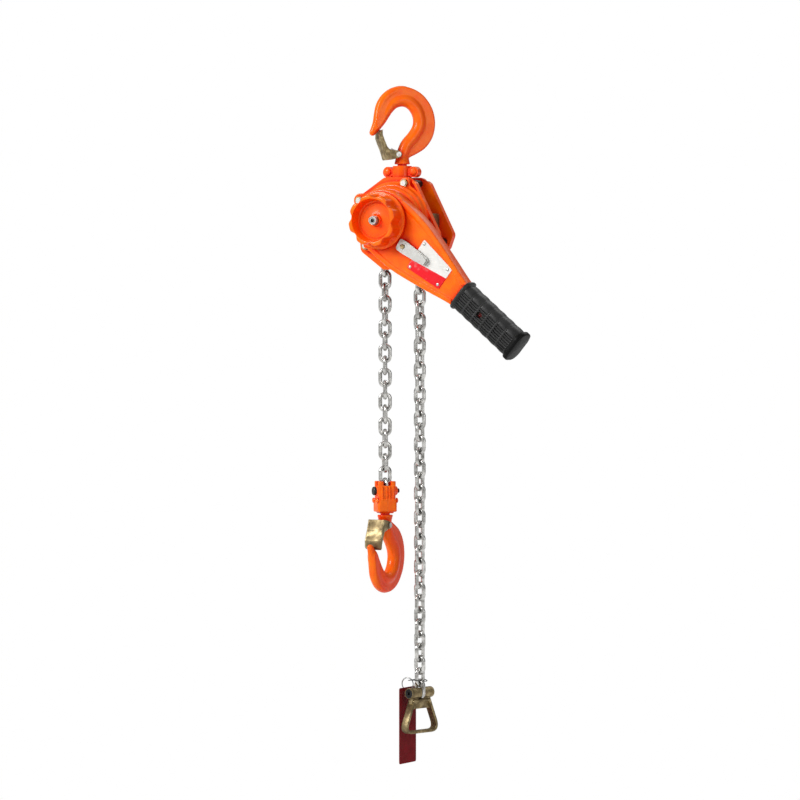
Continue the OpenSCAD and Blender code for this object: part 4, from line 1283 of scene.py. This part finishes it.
@dataclass
class Lever:
    """The pressed lever: two shells with a raised border, a steel tang and a rubber grip."""

    head: float = 46.0
    widths: list[Flat] = field(
        default_factory=lambda: [
            (0.0, 46.0),
            (40.0, 46.0),
            (58.0, 44.6),
            (77.0, 41.3),
            (100.0, 36.2),
            (130.0, 29.0),
            (150.0, 23.8),
            (167.0, 20.0),
        ]
    )
    front: float = -66.6
    middle: float = LEVER_MIDDLE
    back: float = -46.0
    wall: float = 3.0
    hub: float = 15.1
    bore_sides: int = 64
    tang: float = 14.0
    grip_from: float = GRIP_START
    grip_to: float = GRIP_START + GRIP_LENGTH

    def outline(self) -> list[Flat]:
        """Draw the lever's edge from the grip's end round the head.

        Returns:
            Places along and across the lever, anticlockwise.
        """
        stations = [self.grip_from - 3.0 * k for k in range(int(self.grip_from // 3) + 1)]
        half = []
        for u in stations:
            spread = [read_off(self.widths, u + d) for d in (-8, -4, 0, 4, 8)]
            eased = u < self.grip_from - 8
            half.append((u, sum(spread) / 5 if eased else read_off(self.widths, u)))
        arc = [
            (self.head * math.cos(math.radians(a)), self.head * math.sin(math.radians(a)))
            for a in range(92, 269, 4)
        ]
        return half + arc + [(u, -w) for u, w in reversed(half)]

    def drawn_in(self, edge: list[Flat], margin: float) -> list[Flat]:
        """Move the lever's edge inwards, except where it ends flush with the grip.

        Args:
            edge: The lever's edge.
            margin: How far it moves.

        Returns:
            The moved edge.
        """
        moved = inset(edge, margin)
        ends = (0, len(edge) - 1)
        return [(edge[i][0] if i in ends else p[0], p[1]) for i, p in enumerate(moved)]

    def shell(self, name: str, face: float, rim: float) -> bpy.types.Object:
        """Press one shell.

        Args:
            name: The piece's name.
            face: Depth of the shell's flat face.
            rim: How far the border stands proud of that face.

        Returns:
            The shell.
        """
        out = -1.0 if face < self.middle else 1.0
        edge = self.outline()
        rows = [
            (0.0, self.middle),
            (0.0, face - out * 2.2),
            (0.25, face - out * 1.2 + out * rim * 0.3),
            (0.9, face + out * (rim - 0.7)),
            (1.9, face + out * (rim - 0.15)),
            (3.0, face + out * rim),
            (6.2, face + out * rim),
            (7.2, face + out * rim * 0.86),
            (8.0, face + out * rim * 0.45),
            (8.8, face + out * rim * 0.1),
            (10.0, face),
        ]
        work = bmesh.new()
        rings = []
        for margin, depth in rows:
            loop = self.drawn_in(edge, margin)
            rings.append(
                [work.verts.new([c * MM for c in lever_point(u, v, depth)]) for u, v in loop]
            )
        inner = self.drawn_in(edge, self.wall)
        for depth in (self.middle, face - out * self.wall):
            rings.append(
                [work.verts.new([c * MM for c in lever_point(u, v, depth)]) for u, v in inner]
            )
        count = len(edge)
        order = list(range(len(rows)))
        pairs = list(zip(order, order[1:])) + [(0, len(rows)), (len(rows), len(rows) + 1)]
        for a, b in pairs:
            for i in range(count):
                k = (i + 1) % count
                work.faces.new((rings[a][i], rings[a][k], rings[b][k], rings[b][i]))
        bores = []
        for ring, depth in ((rings[len(rows) - 1], face), (rings[-1], face - out * self.wall)):
            bore = [
                work.verts.new([c * MM for c in lever_point(u, v, depth)])
                for u, v in circle(self.hub, count=self.bore_sides)
            ]
            bores.append(bore)
            edges = [work.edges.new((bore[i - 1], bore[i])) for i in range(len(bore))]
            edges += [work.edges.get((ring[i - 1], ring[i])) for i in range(count)]
            bmesh.ops.triangle_fill(work, edges=edges, use_beauty=True, use_dissolve=False)
        for i in range(self.bore_sides):
            work.faces.new((bores[0][i - 1], bores[0][i], bores[1][i], bores[1][i - 1]))
        bmesh.ops.recalc_face_normals(work, faces=work.faces)
        return from_work(name, work, 40.0)

    def build(self) -> list[bpy.types.Object]:
        """Press both shells, each with its half of the tang inside the grip.

        Returns:
            The front shell and the rear one.
        """
        made = []
        for node, face, rim in (("lever_front", self.front, 1.3), ("lever_rear", self.back, 0.0)):
            out = -1.0 if face < self.middle else 1.0
            shell = self.shell(node + "_pressing", face, rim)
            tongue = slab(
                node + "_tang",
                [
                    (self.grip_from - 20, -self.tang),
                    (self.grip_to - 5, -self.tang),
                    (self.grip_to - 5, self.tang),
                    (self.grip_from - 20, self.tang),
                ],
                [circle(GRIP_HOLE_R, (GRIP_HOLE, 0.0), 32)],
                self.middle + out * 0.05,
                face - out * self.wall,
                lever_point,
            )
            whole = joined(node + "_steel", [shell, tongue])
            made.append(stand_in(whole, node, "lever", Slot.ORANGE))
        return made


@dataclass
class Grip:
    """The moulded grip: six banks of fine ribs between smooth bars, and a flange at each end."""

    start: float = GRIP_START
    length: float = GRIP_LENGTH
    width: float = 40.6
    depth: float = 30.6
    corner: float = 11.0
    banks: int = 6
    first: float = 172.8
    pitch: float = 17.7
    bar: float = 2.5
    ribs: int = 7
    ribbed: Flat = (-17.5, 9.5)
    middle: float = LEVER_MIDDLE
    tang_half: float = 14.04
    tang_depth: float = 12.7
    fine: float = 0.62
    collar: list[Flat] = field(
        default_factory=lambda: [
            (0.0, 2.2), (0.35, 3.1), (1.4, 3.7), (3.4, 3.7), (4.4, 3.2), (4.9, 2.0), (5.2, 1.2),
        ]
    )
    flange: list[Flat] = field(
        default_factory=lambda: [
            (9.0, 1.2), (8.3, 2.4), (7.5, 3.4), (6.4, 4.0), (4.0, 4.0), (2.0, 4.0), (0.9, 3.5),
            (0.3, 2.6), (0.0, 1.2),
        ]
    )

    def perimeter(self) -> list[tuple[float, float, float, float, float]]:
        """Return place, outward way and rib coordinate of the section's corners.

        Returns:
            For each corner: across, depth, the outward way and the distance along the skin from
            the middle of its ribbed face, negative towards the face's lower corner.
        """
        a, b, r = self.width / 2, self.depth / 2, self.corner
        flat, steps, bend = a - r, 42, 36
        half = []
        for k in range(steps):
            v = flat * (2 * k / steps - 1)
            half.append((v, b, 0.0, 1.0, -v))
        for k in range(bend):
            t = math.pi / 2 * k / bend
            place = (flat + r * math.sin(t), b - r + r * math.cos(t))
            half.append((*place, math.sin(t), math.cos(t), -flat - r * t))
        for k in range(8):
            half.append((a, (b - r) * (1 - k / 4), 1.0, 0.0, 99.0))
        for k in range(bend):
            t = math.pi / 2 * (1 - k / bend)
            place = (flat + r * math.sin(t), r - b - r * math.cos(t))
            half.append((*place, math.sin(t), -math.cos(t), flat + r * t))
        return half + [(-v, -y, -nv, -ny, c) for v, y, nv, ny, c in half]

    def swell(self, along: float, rib: float, side: float) -> float:
        """Return how far the skin stands out at one place.

        Args:
            along: Millimetres from the shaft.
            rib: Place across the ribbed face, or 99 beyond it.
            side: 1 on the narrow sides and 0 on the ribbed faces.

        Returns:
            Millimetres outwards.
        """
        step = along - self.first
        bank = int(step // self.pitch)
        inner = step - bank * self.pitch
        long = self.pitch - self.bar
        if step < 0 or bank >= self.banks or inner > long:
            return 1.15 - 0.5 * side
        t = inner / long
        ease = min(1.0, min(t, 1 - t) * long / 1.1)
        bulge = 0.35 + 0.95 * math.sin(math.pi * t) ** 0.7
        out = bulge * side + (0.15 + 0.3 * ease) * (1 - side)
        low, high = self.ribbed
        if low < rib < high and 0.0 < ease:
            wave = 0.5 - 0.5 * math.cos(2 * math.pi * (rib - low) * self.ribs / (high - low))
            sharp = min(1.0, max(0.0, (wave - 0.38) * 3.4))
            out = 0.9 * (1 - ease) + ease * (-1.1 + 2.1 * sharp)
        return out

    def build(self) -> bpy.types.Object:
        """Mould the grip with its pocket for the tang and its hanging hole.

        Returns:
            The grip.
        """
        edge = self.perimeter()
        end = self.start + self.length
        stations = [(self.start + u, flange) for u, flange in self.collar]
        u = self.first
        while u < self.first + self.banks * self.pitch - self.bar + 0.1:
            stations.append((u, -1.0))
            u += self.fine
        stations += [(end - u, flange) for u, flange in self.flange]
        rings = []
        for u, flange in stations:
            ring = []
            for v, y, nv, ny, rib in edge:
                side = abs(nv)
                out = flange if flange > 0 else self.swell(u, rib, side)
                spread = 0.7 if flange > 1.4 and abs(ny) > 0.7 else 1.0
                out = out * spread if flange > 0 else out
                ring.append(lever_point(u, v + nv * out, self.middle + y + ny * out))
            rings.append(ring)
        made = loft("grip_moulding", rings, around=False, caps=True)
        smooth(made, 48.0)
        pocket = slab(
            "pocket",
            [
                (self.start - 4, -self.tang_half),
                (end - 4.9, -self.tang_half),
                (end - 4.9, self.tang_half),
                (self.start - 4, self.tang_half),
            ],
            [],
            self.middle - self.tang_depth / 2,
            self.middle + self.tang_depth / 2,
            lever_point,
        )
        hole = circle(GRIP_HOLE_R, (GRIP_HOLE, 0.0), 40)
        bore = slab("bore", hole, [], -90.0, -20.0, lever_point)
        whole = cut_away("grip_rubber", made, [pocket, bore])
        smooth(whole, 48.0)
        return stand_in(whole, "grip", "lever", Slot.RUBBER)


@dataclass
class NamePlate:
    """The thin printed plate on the lever, left without words, and its four round rivets."""

    corners: list[Flat] = field(
        default_factory=lambda: [(136.0, 20.5), (73.0, 25.0), (77.0, -24.5), (137.0, -15.0)]
    )
    rivets: list[Flat] = field(
        default_factory=lambda: [(77.5, 20.0), (130.5, 16.0), (80.5, -20.5), (131.5, -11.0)]
    )
    face: float = -67.4
    back: float = -66.6
    rivet_r: float = 2.35

    def build(self) -> list[bpy.types.Object]:
        """Cut the plate and set its rivets.

        Returns:
            The plate and the rivets.
        """
        plate = slab(
            "name_plate_sheet", rounded(self.corners, 2.2), [], self.face, self.back, lever_point
        )
        bevelled(plate, 0.25)
        sheet = joined("name_plate_printed", [plate])
        heads = []
        profile = [(1.0, 0.0), (0.98, 0.25), (0.86, 0.6), (0.6, 0.9), (0.3, 1.02), (0.02, 1.05)]
        for u, v in self.rivets:
            rings = []
            for share, rise in profile:
                ring = circle(self.rivet_r * share, (u, v), 24)
                rings.append([lever_point(a, b, self.face - rise) for a, b in ring])
            foot = circle(1.2, (u, v), 24)
            rings.insert(0, [lever_point(a, b, self.face) for a, b in foot])
            rings.insert(0, [lever_point(a, b, self.back + 1.8) for a, b in foot])
            heads.append(loft("head", rings, around=False, caps=True))
        rivets = joined("name_plate_rivets", heads)
        return [
            stand_in(sheet, "name_plate", "lever", Slot.PLATE),
            stand_in(rivets, "plate_rivets", "lever", Slot.BRIGHT),
        ]


@dataclass
class Hook:
    """A forged hook: a round bead inside, a flat web, a rolled rim, a nose and a turned neck."""

    name: str
    node: str
    body: str
    turn: float
    at: Point = (0.0, 0.0, 0.0)
    upside_down: bool = False
    web: float = 6.6
    neck_r: float = 11.3
    stem_r: float = 7.0
    drop: float = 66.5
    stem_in: float = 12.5
    head_r: float = 10.5
    head_t: float = 5.0
    latch_at: Flat = (-9.0, -52.0)
    grain_mm: float = 0.85
    web_edge: list[Flat] = field(
        default_factory=lambda: [
            (6, -57.5), (14, -54.5), (22, -50.5), (34, -42.5), (44, -29), (48.6, -13),
            (48.2, 3), (43, 19), (31.5, 34.5), (17.5, 43.6), (2.5, 47.6), (-10, 46.2),
            (-21, 41.2), (-30.8, 32.6), (-37.8, 21), (-41, 4), (-43, -8), (-40, -16),
            (-33, -12), (-24, 2), (-16, 14), (-1, 22), (12, 19), (20, 8), (21, -6),
            (16, -20), (7, -34), (1, -50),
        ]
    )
    bead: list[tuple[float, float, float]] = field(
        default_factory=lambda: [
            (0.4, -58, 9.0), (1.2, -51, 9.4), (6.8, -38.4, 9.7), (17.2, -26, 9.7),
            (24.6, -14, 9.8), (26.4, -1, 9.8), (22.2, 13, 9.8), (12.4, 24, 9.8),
            (0, 27.6, 9.6), (-12.6, 23.6, 8.8), (-20.8, 15, 7.8), (-26.2, 6, 7.0),
            (-31.6, -3.2, 6.4), (-37.6, -11.4, 5.8), (-42, -17, 5.1), (-45, -20.4, 4.8),
        ]
    )
    rim: list[tuple[float, float, float]] = field(
        default_factory=lambda: [
            (16, 38, 5.6), (2, 42, 6.6), (-9, 40.6, 7.0), (-19, 36, 7.2), (-27.4, 28.4, 7.2),
            (-33.4, 18, 7.0), (-36.4, 6, 6.6), (-38, -4, 6.4), (-41, -12, 5.6),
            (-45, -20.4, 4.8),
        ]
    )

    def placed(self, spot: Point) -> Point:
        """Move a place from the hook's own frame to the hoist's."""
        x, y, z = spot
        return swung(self.at, self.turn, (x, -y, -z) if self.upside_down else spot)

    def flat_place(self, x: float, z: float, depth: float) -> Point:
        """Move a flat place and a depth from the hook's own plane to the hoist's frame."""
        return self.placed((x, depth, z))

    def bar(self, stations: list[tuple[float, float, float]]) -> bpy.types.Object:
        """Bend a round bar through its stations.

        Args:
            stations: Place across, place up and radius of each.

        Returns:
            The bar, with both ends capped.
        """
        count = len(stations)
        columns = [[s[c] for s in stations] for c in range(3)]
        steps = (count - 1) * 5
        spots = [
            [through(column, k * (count - 1) / steps) for column in columns]
            for k in range(steps + 1)
        ]
        rings = []
        for k, (x, z, r) in enumerate(spots):
            before, after = spots[max(0, k - 1)], spots[min(steps, k + 1)]
            way = Vector((after[0] - before[0], after[1] - before[1])).normalized()
            ring = []
            for c, s in circle(1.0, count=24):
                ring.append(self.placed((x - way.y * r * c, r * s, z + way.x * r * c)))
            rings.append(ring)
        return loft("bar", rings, around=False, caps=True)

    def ball(self, x: float, z: float, radius: float) -> bpy.types.Object:
        """Round off the end of a bar.

        Args:
            x: Place across.
            z: Place up.
            radius: The bar's radius there.

        Returns:
            The ball.
        """
        rings = []
        for k in range(1, 12):
            t = math.pi * k / 12
            rings.append(
                [
                    self.placed((x + radius * math.sin(t) * c, radius * math.sin(t) * s,
                                 z + radius * math.cos(t)))
                    for c, s in circle(1.0, count=24)
                ]
            )
        return loft("ball", rings, around=False, caps=True)

    def turned(self, profile: list[Flat]) -> bpy.types.Object:
        """Spin a profile round the neck.

        Args:
            profile: Radius and height of each place.

        Returns:
            The turned piece.
        """
        rings = [
            [self.placed((r * c, r * s, z)) for c, s in circle(1.0, count=56)]
            for r, z in [(max(r, NEEDLE), z) for r, z in profile]
        ]
        return loft("turned", rings, around=False, caps=True)

    def forging(self) -> bpy.types.Object:
        """Melt the bars, the web and the shoulder together with soft fillets.

        Returns:
            The forged part.
        """
        web = slab("web", flowing(self.web_edge), [], -self.web, self.web, self.flat_place)
        bevelled(web, 3.4, 4)
        nose = self.bead[-1]
        shoulder = self.turned(
            [(0.0, -46.0), (6.0, -47.0), (8.6, -50.0), (9.2, -55.0), (10.2, -60.0), (0.0, -60.5)]
        )
        parts = [web, self.bar(self.bead), self.bar(self.rim), shoulder, self.ball(*nose)]
        return melted("forging", parts, self.grain_mm, 7)

    def build(self) -> bpy.types.Object:
        """Forge the hook and mill the flats beside its latch.

        Returns:
            The whole hook.
        """
        low = -self.drop - self.stem_in
        neck = self.turned(
            [
                (0.0, -57.0),
                (9.3, -57.2),
                (10.0, -59.5),
                (10.7, -62.5),
                (self.neck_r, -self.drop + 1.6),
                (self.neck_r, -self.drop + 0.6),
                (self.neck_r - 0.6, -self.drop),
                (self.stem_r, -self.drop),
                (self.stem_r, low),
                (self.head_r, low),
                (self.head_r, low - self.head_t),
                (0.0, low - self.head_t),
            ]
        )
        steel = self.forging()
        x, z = self.latch_at
        cutters = []
        for side in (1.0, -1.0):
            corners = [(x - 9, z - 5.4), (x + 5.4, z - 5.4), (x + 5.4, z + 5.4), (x - 9, z + 5.4)]
            cutters.append(
                slab("flat", corners, [], *sorted((side * 7.0, side * 16.0)), self.flat_place)
            )
        whole = joined(self.name, [cut_away("forging", steel, cutters), neck])
        held_in(whole, self.node)
        smooth(whole, 50.0)
        return stand_in(whole, self.node, self.body, Slot.ORANGE)


@dataclass
class Latch:
    """The sprung latch of a hook: a folded plate with narrow flanges that widen round its pin."""

    hook: Hook
    name: str
    node: str
    body: str
    half: float = 13.25
    wall: float = 1.7
    side: list[Flat] = field(
        default_factory=lambda: [
            (-33.0, -16.5), (-37.3, -20.5), (-37.5, -29.5), (-35.0, -36.5), (-31.2, -45.5),
            (-28.8, -53.0), (-26.4, -60.8), (-19.0, -60.0), (-9.0, -57.5), (-4.6, -55.3),
            (-3.5, -52.0), (-4.8, -48.4), (-9.0, -46.6), (-16.0, -46.2), (-22.6, -44.4),
            (-25.8, -41.0), (-30.0, -31.0), (-32.6, -24.0),
        ]
    )

    def build(self) -> bpy.types.Object:
        """Bend the latch up from one plate.

        Returns:
            The latch.
        """
        hook = self.hook
        outline = rounded(self.side, 1.6, 4)
        spine = self.side[:7]
        inner = [(x + self.wall * 1.05, z + self.wall * 0.25) for x, z in reversed(spine)]
        bore = circle(2.6, hook.latch_at, 28)
        parts = [
            slab("ear", outline, [bore], self.half - self.wall, self.half, hook.flat_place),
            slab("ear", outline, [bore], -self.half, -self.half + self.wall, hook.flat_place),
            slab(
                "back",
                rounded(spine + inner, 0.7, 3),
                [],
                -self.half + self.wall - 0.02,
                self.half - self.wall + 0.02,
                hook.flat_place,
            ),
        ]
        for part in parts:
            bevelled(part, 0.45)
        return stand_in(joined(self.name, parts), self.node, self.body, Slot.YELLOW)


@dataclass
class Coils:
    """A torsion spring wound round a latch pin on both sides of the hook."""

    hook: Hook
    name: str
    node: str
    body: str
    wire: float = 0.8
    radius: float = 3.7
    start: float = 7.8
    turns: float = 2.2
    leg: float = 12.0

    def build(self) -> bpy.types.Object:
        """Wind both coils with the legs that press on the latch.

        Returns:
            The coils as one piece.
        """
        parts = []
        x, z = self.hook.latch_at
        for side in (1.0, -1.0):
            curve: list[Point] = []
            steps = int(self.turns * 20)
            for k in range(steps + 1):
                t = 2 * math.pi * self.turns * k / steps
                depth = self.start + 1.75 * self.turns * k / steps * 0.85
                curve.append(
                    (x + self.radius * math.cos(t), side * depth, z + self.radius * math.sin(t))
                )
            last = curve[-1]
            for k in (1, 2, 3, 4):
                curve.append((last[0] - self.leg * k / 4, last[1], last[2] + 1.2 * k))
            parts.append(wire("coil", [self.hook.placed(p) for p in curve], self.wire))
        return stand_in(joined(self.name, parts), self.node, self.body, Slot.SPRING)


@dataclass
class Block:
    """The cast block over the bottom hook: two halves with corner ears, ribs and a chain slot."""

    at: Point = (-28.505, 0.0, 0.0)
    turn: float = 48.0
    low: float = -580.112
    high: float = -532.112
    pin: float = -547.112
    half_w: float = 14.9
    half_d: float = 12.4
    grain_mm: float = 0.8

    def placed(self, x: float, y: float, z: float) -> Point:
        """Move a place from the block's own frame to the hoist's."""
        return swung(self.at, self.turn, (x, y, z))

    def column(self, x: Flat, y: Flat, z: Flat, corner: float) -> bpy.types.Object:
        """Raise a column with rounded corners."""
        outline = [(x[0], y[0]), (x[1], y[0]), (x[1], y[1]), (x[0], y[1])]
        return slab("column", rounded(outline, corner), [], z[0], z[1], self.placed)

    def boss(self, profile: list[Flat]) -> bpy.types.Object:
        """Spin a profile about the chain pin.

        Args:
            profile: Radius and place along the pin.

        Returns:
            The boss.
        """
        rings = [
            [self.placed(x, r * c, self.pin + r * s) for c, s in circle(1.0)]
            for r, x in [(max(r, NEEDLE), x) for r, x in profile]
        ]
        return loft("boss", rings, around=False, caps=True)

    def casting(self) -> bpy.types.Object:
        """Cast the block with soft fillets and chain slots, before its seam is cut.

        Returns:
            The whole casting.
        """
        w, d, low, high = self.half_w, self.half_d, self.low, self.high
        parts = [
            self.column((1.4 - w, w - 1.4), (1.3 - d, d - 1.3), (low + 2, high - 7), 4.0),
            self.column((-w, w), (-d, d), (low + 2.5, low + 21), 4.0),
            self.column((4 - w, w - 4), (3 - d, d - 3), (low, low + 4), 4.0),
        ]
        for x in (-1, 1):
            for y in (-1, 1):
                near, far = sorted((x * 5.6, x * (w - 1.6))), sorted((y * 3.2, y * (d - 1.4)))
                parts.append(self.column(tuple(near), tuple(far), (high - 15, high - 0.6), 2.2))
        for y in (-1, 1):
            for x in (-8.4, -1.2, 3.4, 8.6):
                face = sorted((y * (d - 3), y * (d + 0.1)))
                parts.append(
                    self.column((x - 0.9, x + 0.9), tuple(face), (low + 5, high - 9), 0.6)
                )
        parts.append(self.boss([(0, -w - 0.3), (7.0, -w - 0.3), (7.6, -w + 1.0), (0, -w + 6)]))
        parts.append(self.boss([(0, w - 6), (9.0, w - 2.0), (6.0, w + 3.4), (0, w + 3.4)]))
        whole = melted("casting", parts, self.grain_mm, 4)
        cutters = [
            self.column((-3.4, 3.4), (-10.6, 10.6), (self.pin - 10.3, high + 4), 1.0),
            self.column((-10.6, 10.6), (-3.6, 3.6), (self.pin + 7.5, high + 4), 1.0),
        ]
        return cut_away("casting", whole, cutters)

    def build(self) -> list[bpy.types.Object]:
        """Part the casting along the block's middle.

        Returns:
            The two halves.
        """
        whole = self.casting()
        turn = math.radians(self.turn)
        normal = Vector((math.cos(turn), math.sin(turn), 0.0))
        made = []
        for node, side in (("block_front", -1.0), ("block_rear", 1.0)):
            work = bmesh.new()
            work.from_mesh(whole.data)
            seam = Vector((self.at[0] * MM, self.at[1] * MM, 0.0)) + normal * side * 0.1 * MM
            found = bmesh.ops.bisect_plane(
                work,
                geom=work.verts[:] + work.edges[:] + work.faces[:],
                plane_co=seam,
                plane_no=normal * -side,
                clear_outer=True,
            )
            rims = [g for g in found["geom_cut"] if isinstance(g, bmesh.types.BMEdge)]
            bmesh.ops.triangle_fill(work, edges=rims, use_beauty=True)
            bmesh.ops.recalc_face_normals(work, faces=work.faces)
            piece = from_work(node + "_casting", work, 46.0)
            made.append(stand_in(piece, node, "load_fall", Slot.ORANGE))
        bpy.data.objects.remove(whole)
        return made


@dataclass
class EndRing:
    """The slack end's ring: a short tube on a web, and a bent bar for the fingers."""

    at: Point = (29.2604, 0.0, -842.873)
    turn: float = -13.0
    tube_l: float = 50.0
    tube_r: float = 8.0
    bore: float = 4.2
    web_low: float = 23.0
    socket: float = 6.8
    socket_depth: float = 4.6
    slot: float = 3.6
    link_room: float = 11.4
    base: float = 38.0
    drop: float = 57.0
    bar_w: float = 12.0
    bar_t: float = 4.4

    def placed(self, x: float, y: float, z: float) -> Point:
        """Move a place from the ring's own frame to the hoist's."""
        return swung(self.at, self.turn, (x, y, z))

    def tube(self) -> bpy.types.Object:
        """Turn the tube with its pin bore, its socket and the gap for the last link.

        Returns:
            The tube.
        """
        half = self.tube_l / 2
        profile = [
            (self.bore, half),
            (self.tube_r - 1.0, half),
            (self.tube_r, half - 1.0),
            (self.tube_r, 1.0 - half),
            (self.tube_r - 0.9, -half),
            (self.socket + 0.3, -half),
            (self.socket, 0.4 - half),
            (self.socket, self.socket_depth - half),
            (self.bore, self.socket_depth - half),
        ]
        rings = []
        for c, s in circle(1.0, count=56):
            rings.append([self.placed(r * c, y, r * s) for r, y in profile])
        made = loft("tube", rings)
        room = [
            [self.placed(self.link_room * c, y, self.link_room * s) for c, s in circle(1.0)]
            for y in (-self.slot, self.slot)
        ]
        return cut_away("tube", made, [loft("room", room, around=False, caps=True)])

    def web(self) -> bpy.types.Object:
        """Cut the plate under the tube, notched for the last link.

        Returns:
            The plate.
        """
        low, room = -self.web_low, self.link_room * 0.62
        notch = self.link_room * math.sin(math.radians(-72))
        outline = [(-21, -3), (-21, -9), (-22, low), (22, low), (21, -9), (21, -3), (room, -3)]
        outline += [(self.slot, notch), (-self.slot, notch), (-room, -3)]
        plate = slab(
            "web", rounded(outline, 1.6, 3), [], -3.1, 3.1, lambda y, z, x: self.placed(x, y, z)
        )
        return bevelled(plate, 0.9)

    def loop(self) -> bpy.types.Object:
        """Sweep the bent bar round with softened edges.

        Returns:
            The bar.
        """
        route = rounded(
            [(-17.5, -12), (-self.base, -self.drop), (self.base, -self.drop), (17.5, -12), (0, 60)],
            11.0,
            9,
        )
        path = [p for p in route if p[1] < -11.0]
        first = min(range(len(path)), key=lambda i: (path[i][1] < -30, path[i][0]))
        path = path[first:] + path[:first]
        w, t = self.bar_w / 2, self.bar_t / 2
        section = rounded([(-w, -t), (w, -t), (w, t), (-w, t)], 1.9, 4)
        rings = []
        for i, (y, z) in enumerate(path):
            before, after = path[max(0, i - 1)], path[min(len(path) - 1, i + 1)]
            way = Vector((after[0] - before[0], after[1] - before[1])).normalized()
            rings.append([self.placed(a, y - way.y * b, z + way.x * b) for a, b in section])
        return loft("loop", rings, around=False, caps=True)

    def build(self) -> bpy.types.Object:
        """Weld the tube, the plate and the bar together.

        Returns:
            The whole ring.
        """
        whole = joined("end_ring_welded", [self.tube(), self.web(), self.loop()])
        smooth(whole, 42.0)
        return stand_in(whole, "end_ring", "end_ring", Slot.YELLOW)


@dataclass
class TagCord:
    """The thin cord that ties the tag's ring to the last link but one."""

    near: float = 11.6
    far: float = 40.2
    half: float = 11.6
    level: float = -823.873
    sag: float = 1.6
    radius: float = 0.6

    def build(self) -> bpy.types.Object:
        """Draw the cord as one closed loop that sags a little at both ends.

        Returns:
            The cord.
        """
        middle, reach = (self.near + self.far) / 2, (self.far - self.near) / 2
        rings = []
        steps = 60
        for k in range(steps):
            t = 2 * math.pi * k / steps
            c, s = math.cos(t), math.sin(t)
            at = (middle + reach * c, self.half * s, self.level - self.sag * c * c)
            out = Vector((c * self.half, s * reach, 0.0)).normalized()
            rings.append(
                [
                    (at[0] + out.x * a, at[1] + out.y * a, at[2] + b)
                    for a, b in circle(self.radius, (0.0, 0.0), 10)
                ]
            )
        return stand_in(loft("tag_cord_braid", rings), "tag_cord", "tail_fall", Slot.CORD)


def dress_frame(stores: Stores) -> None:
    """Give each construction node its finish.

    Args:
        stores: The made finishes.
    """
    for name, obj in frame["nodes"].items():
        for held in obj.material_slots:
            held.material = stores.made[NODE_SLOTS[name]]


def let_spring_yield() -> None:
    """Give the wheel's spring its own copy of its mesh; it is not shortened against the nut, 4.5 mm
    to 0.5 mm, as the wheel comes out.
    """
    spring = frame["nodes"]["wheel_spring"]
    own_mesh(spring)


def main() -> None:
    """Build the studio and the hoist's sub-assemblies in order."""
    logging.basicConfig(level=logging.INFO, format="%(name)s: %(message)s")
    Studio().build()
    stores = Stores()
    dress_frame(stores)
    upper = Hook("top_hook_forging", "top_hook", "top_hook", 43.0)
    lower = Hook(
        "bottom_hook_forging", "bottom_hook", "bottom_hook", 89.0, (-28.505, 0.0, -649.112), True
    )
    pieces = [HandWheel().build(), BrakeCover().build(), *Lever().build(), Grip().build()]
    pieces += [*Block().build(), EndRing().build(), TagCord().build(), *NamePlate().build()]
    for hook, end in ((upper, "top"), (lower, "bottom")):
        latch = Latch(hook, f"{end}_latch_plate", f"{end}_latch", f"{end}_latch")
        coils = Coils(hook, f"{end}_coils", f"{end}_latch_spring", hook.body)
        pieces += [hook.build(), latch.build(), coils.build()]
    for piece in pieces:
        stores.dress(piece, PIECE_SLOTS[piece.name])
        LOG.info("%s: %d faces", piece.name, len(piece.data.polygons))
    let_spring_yield()


if __name__ == "__main__":
    main()
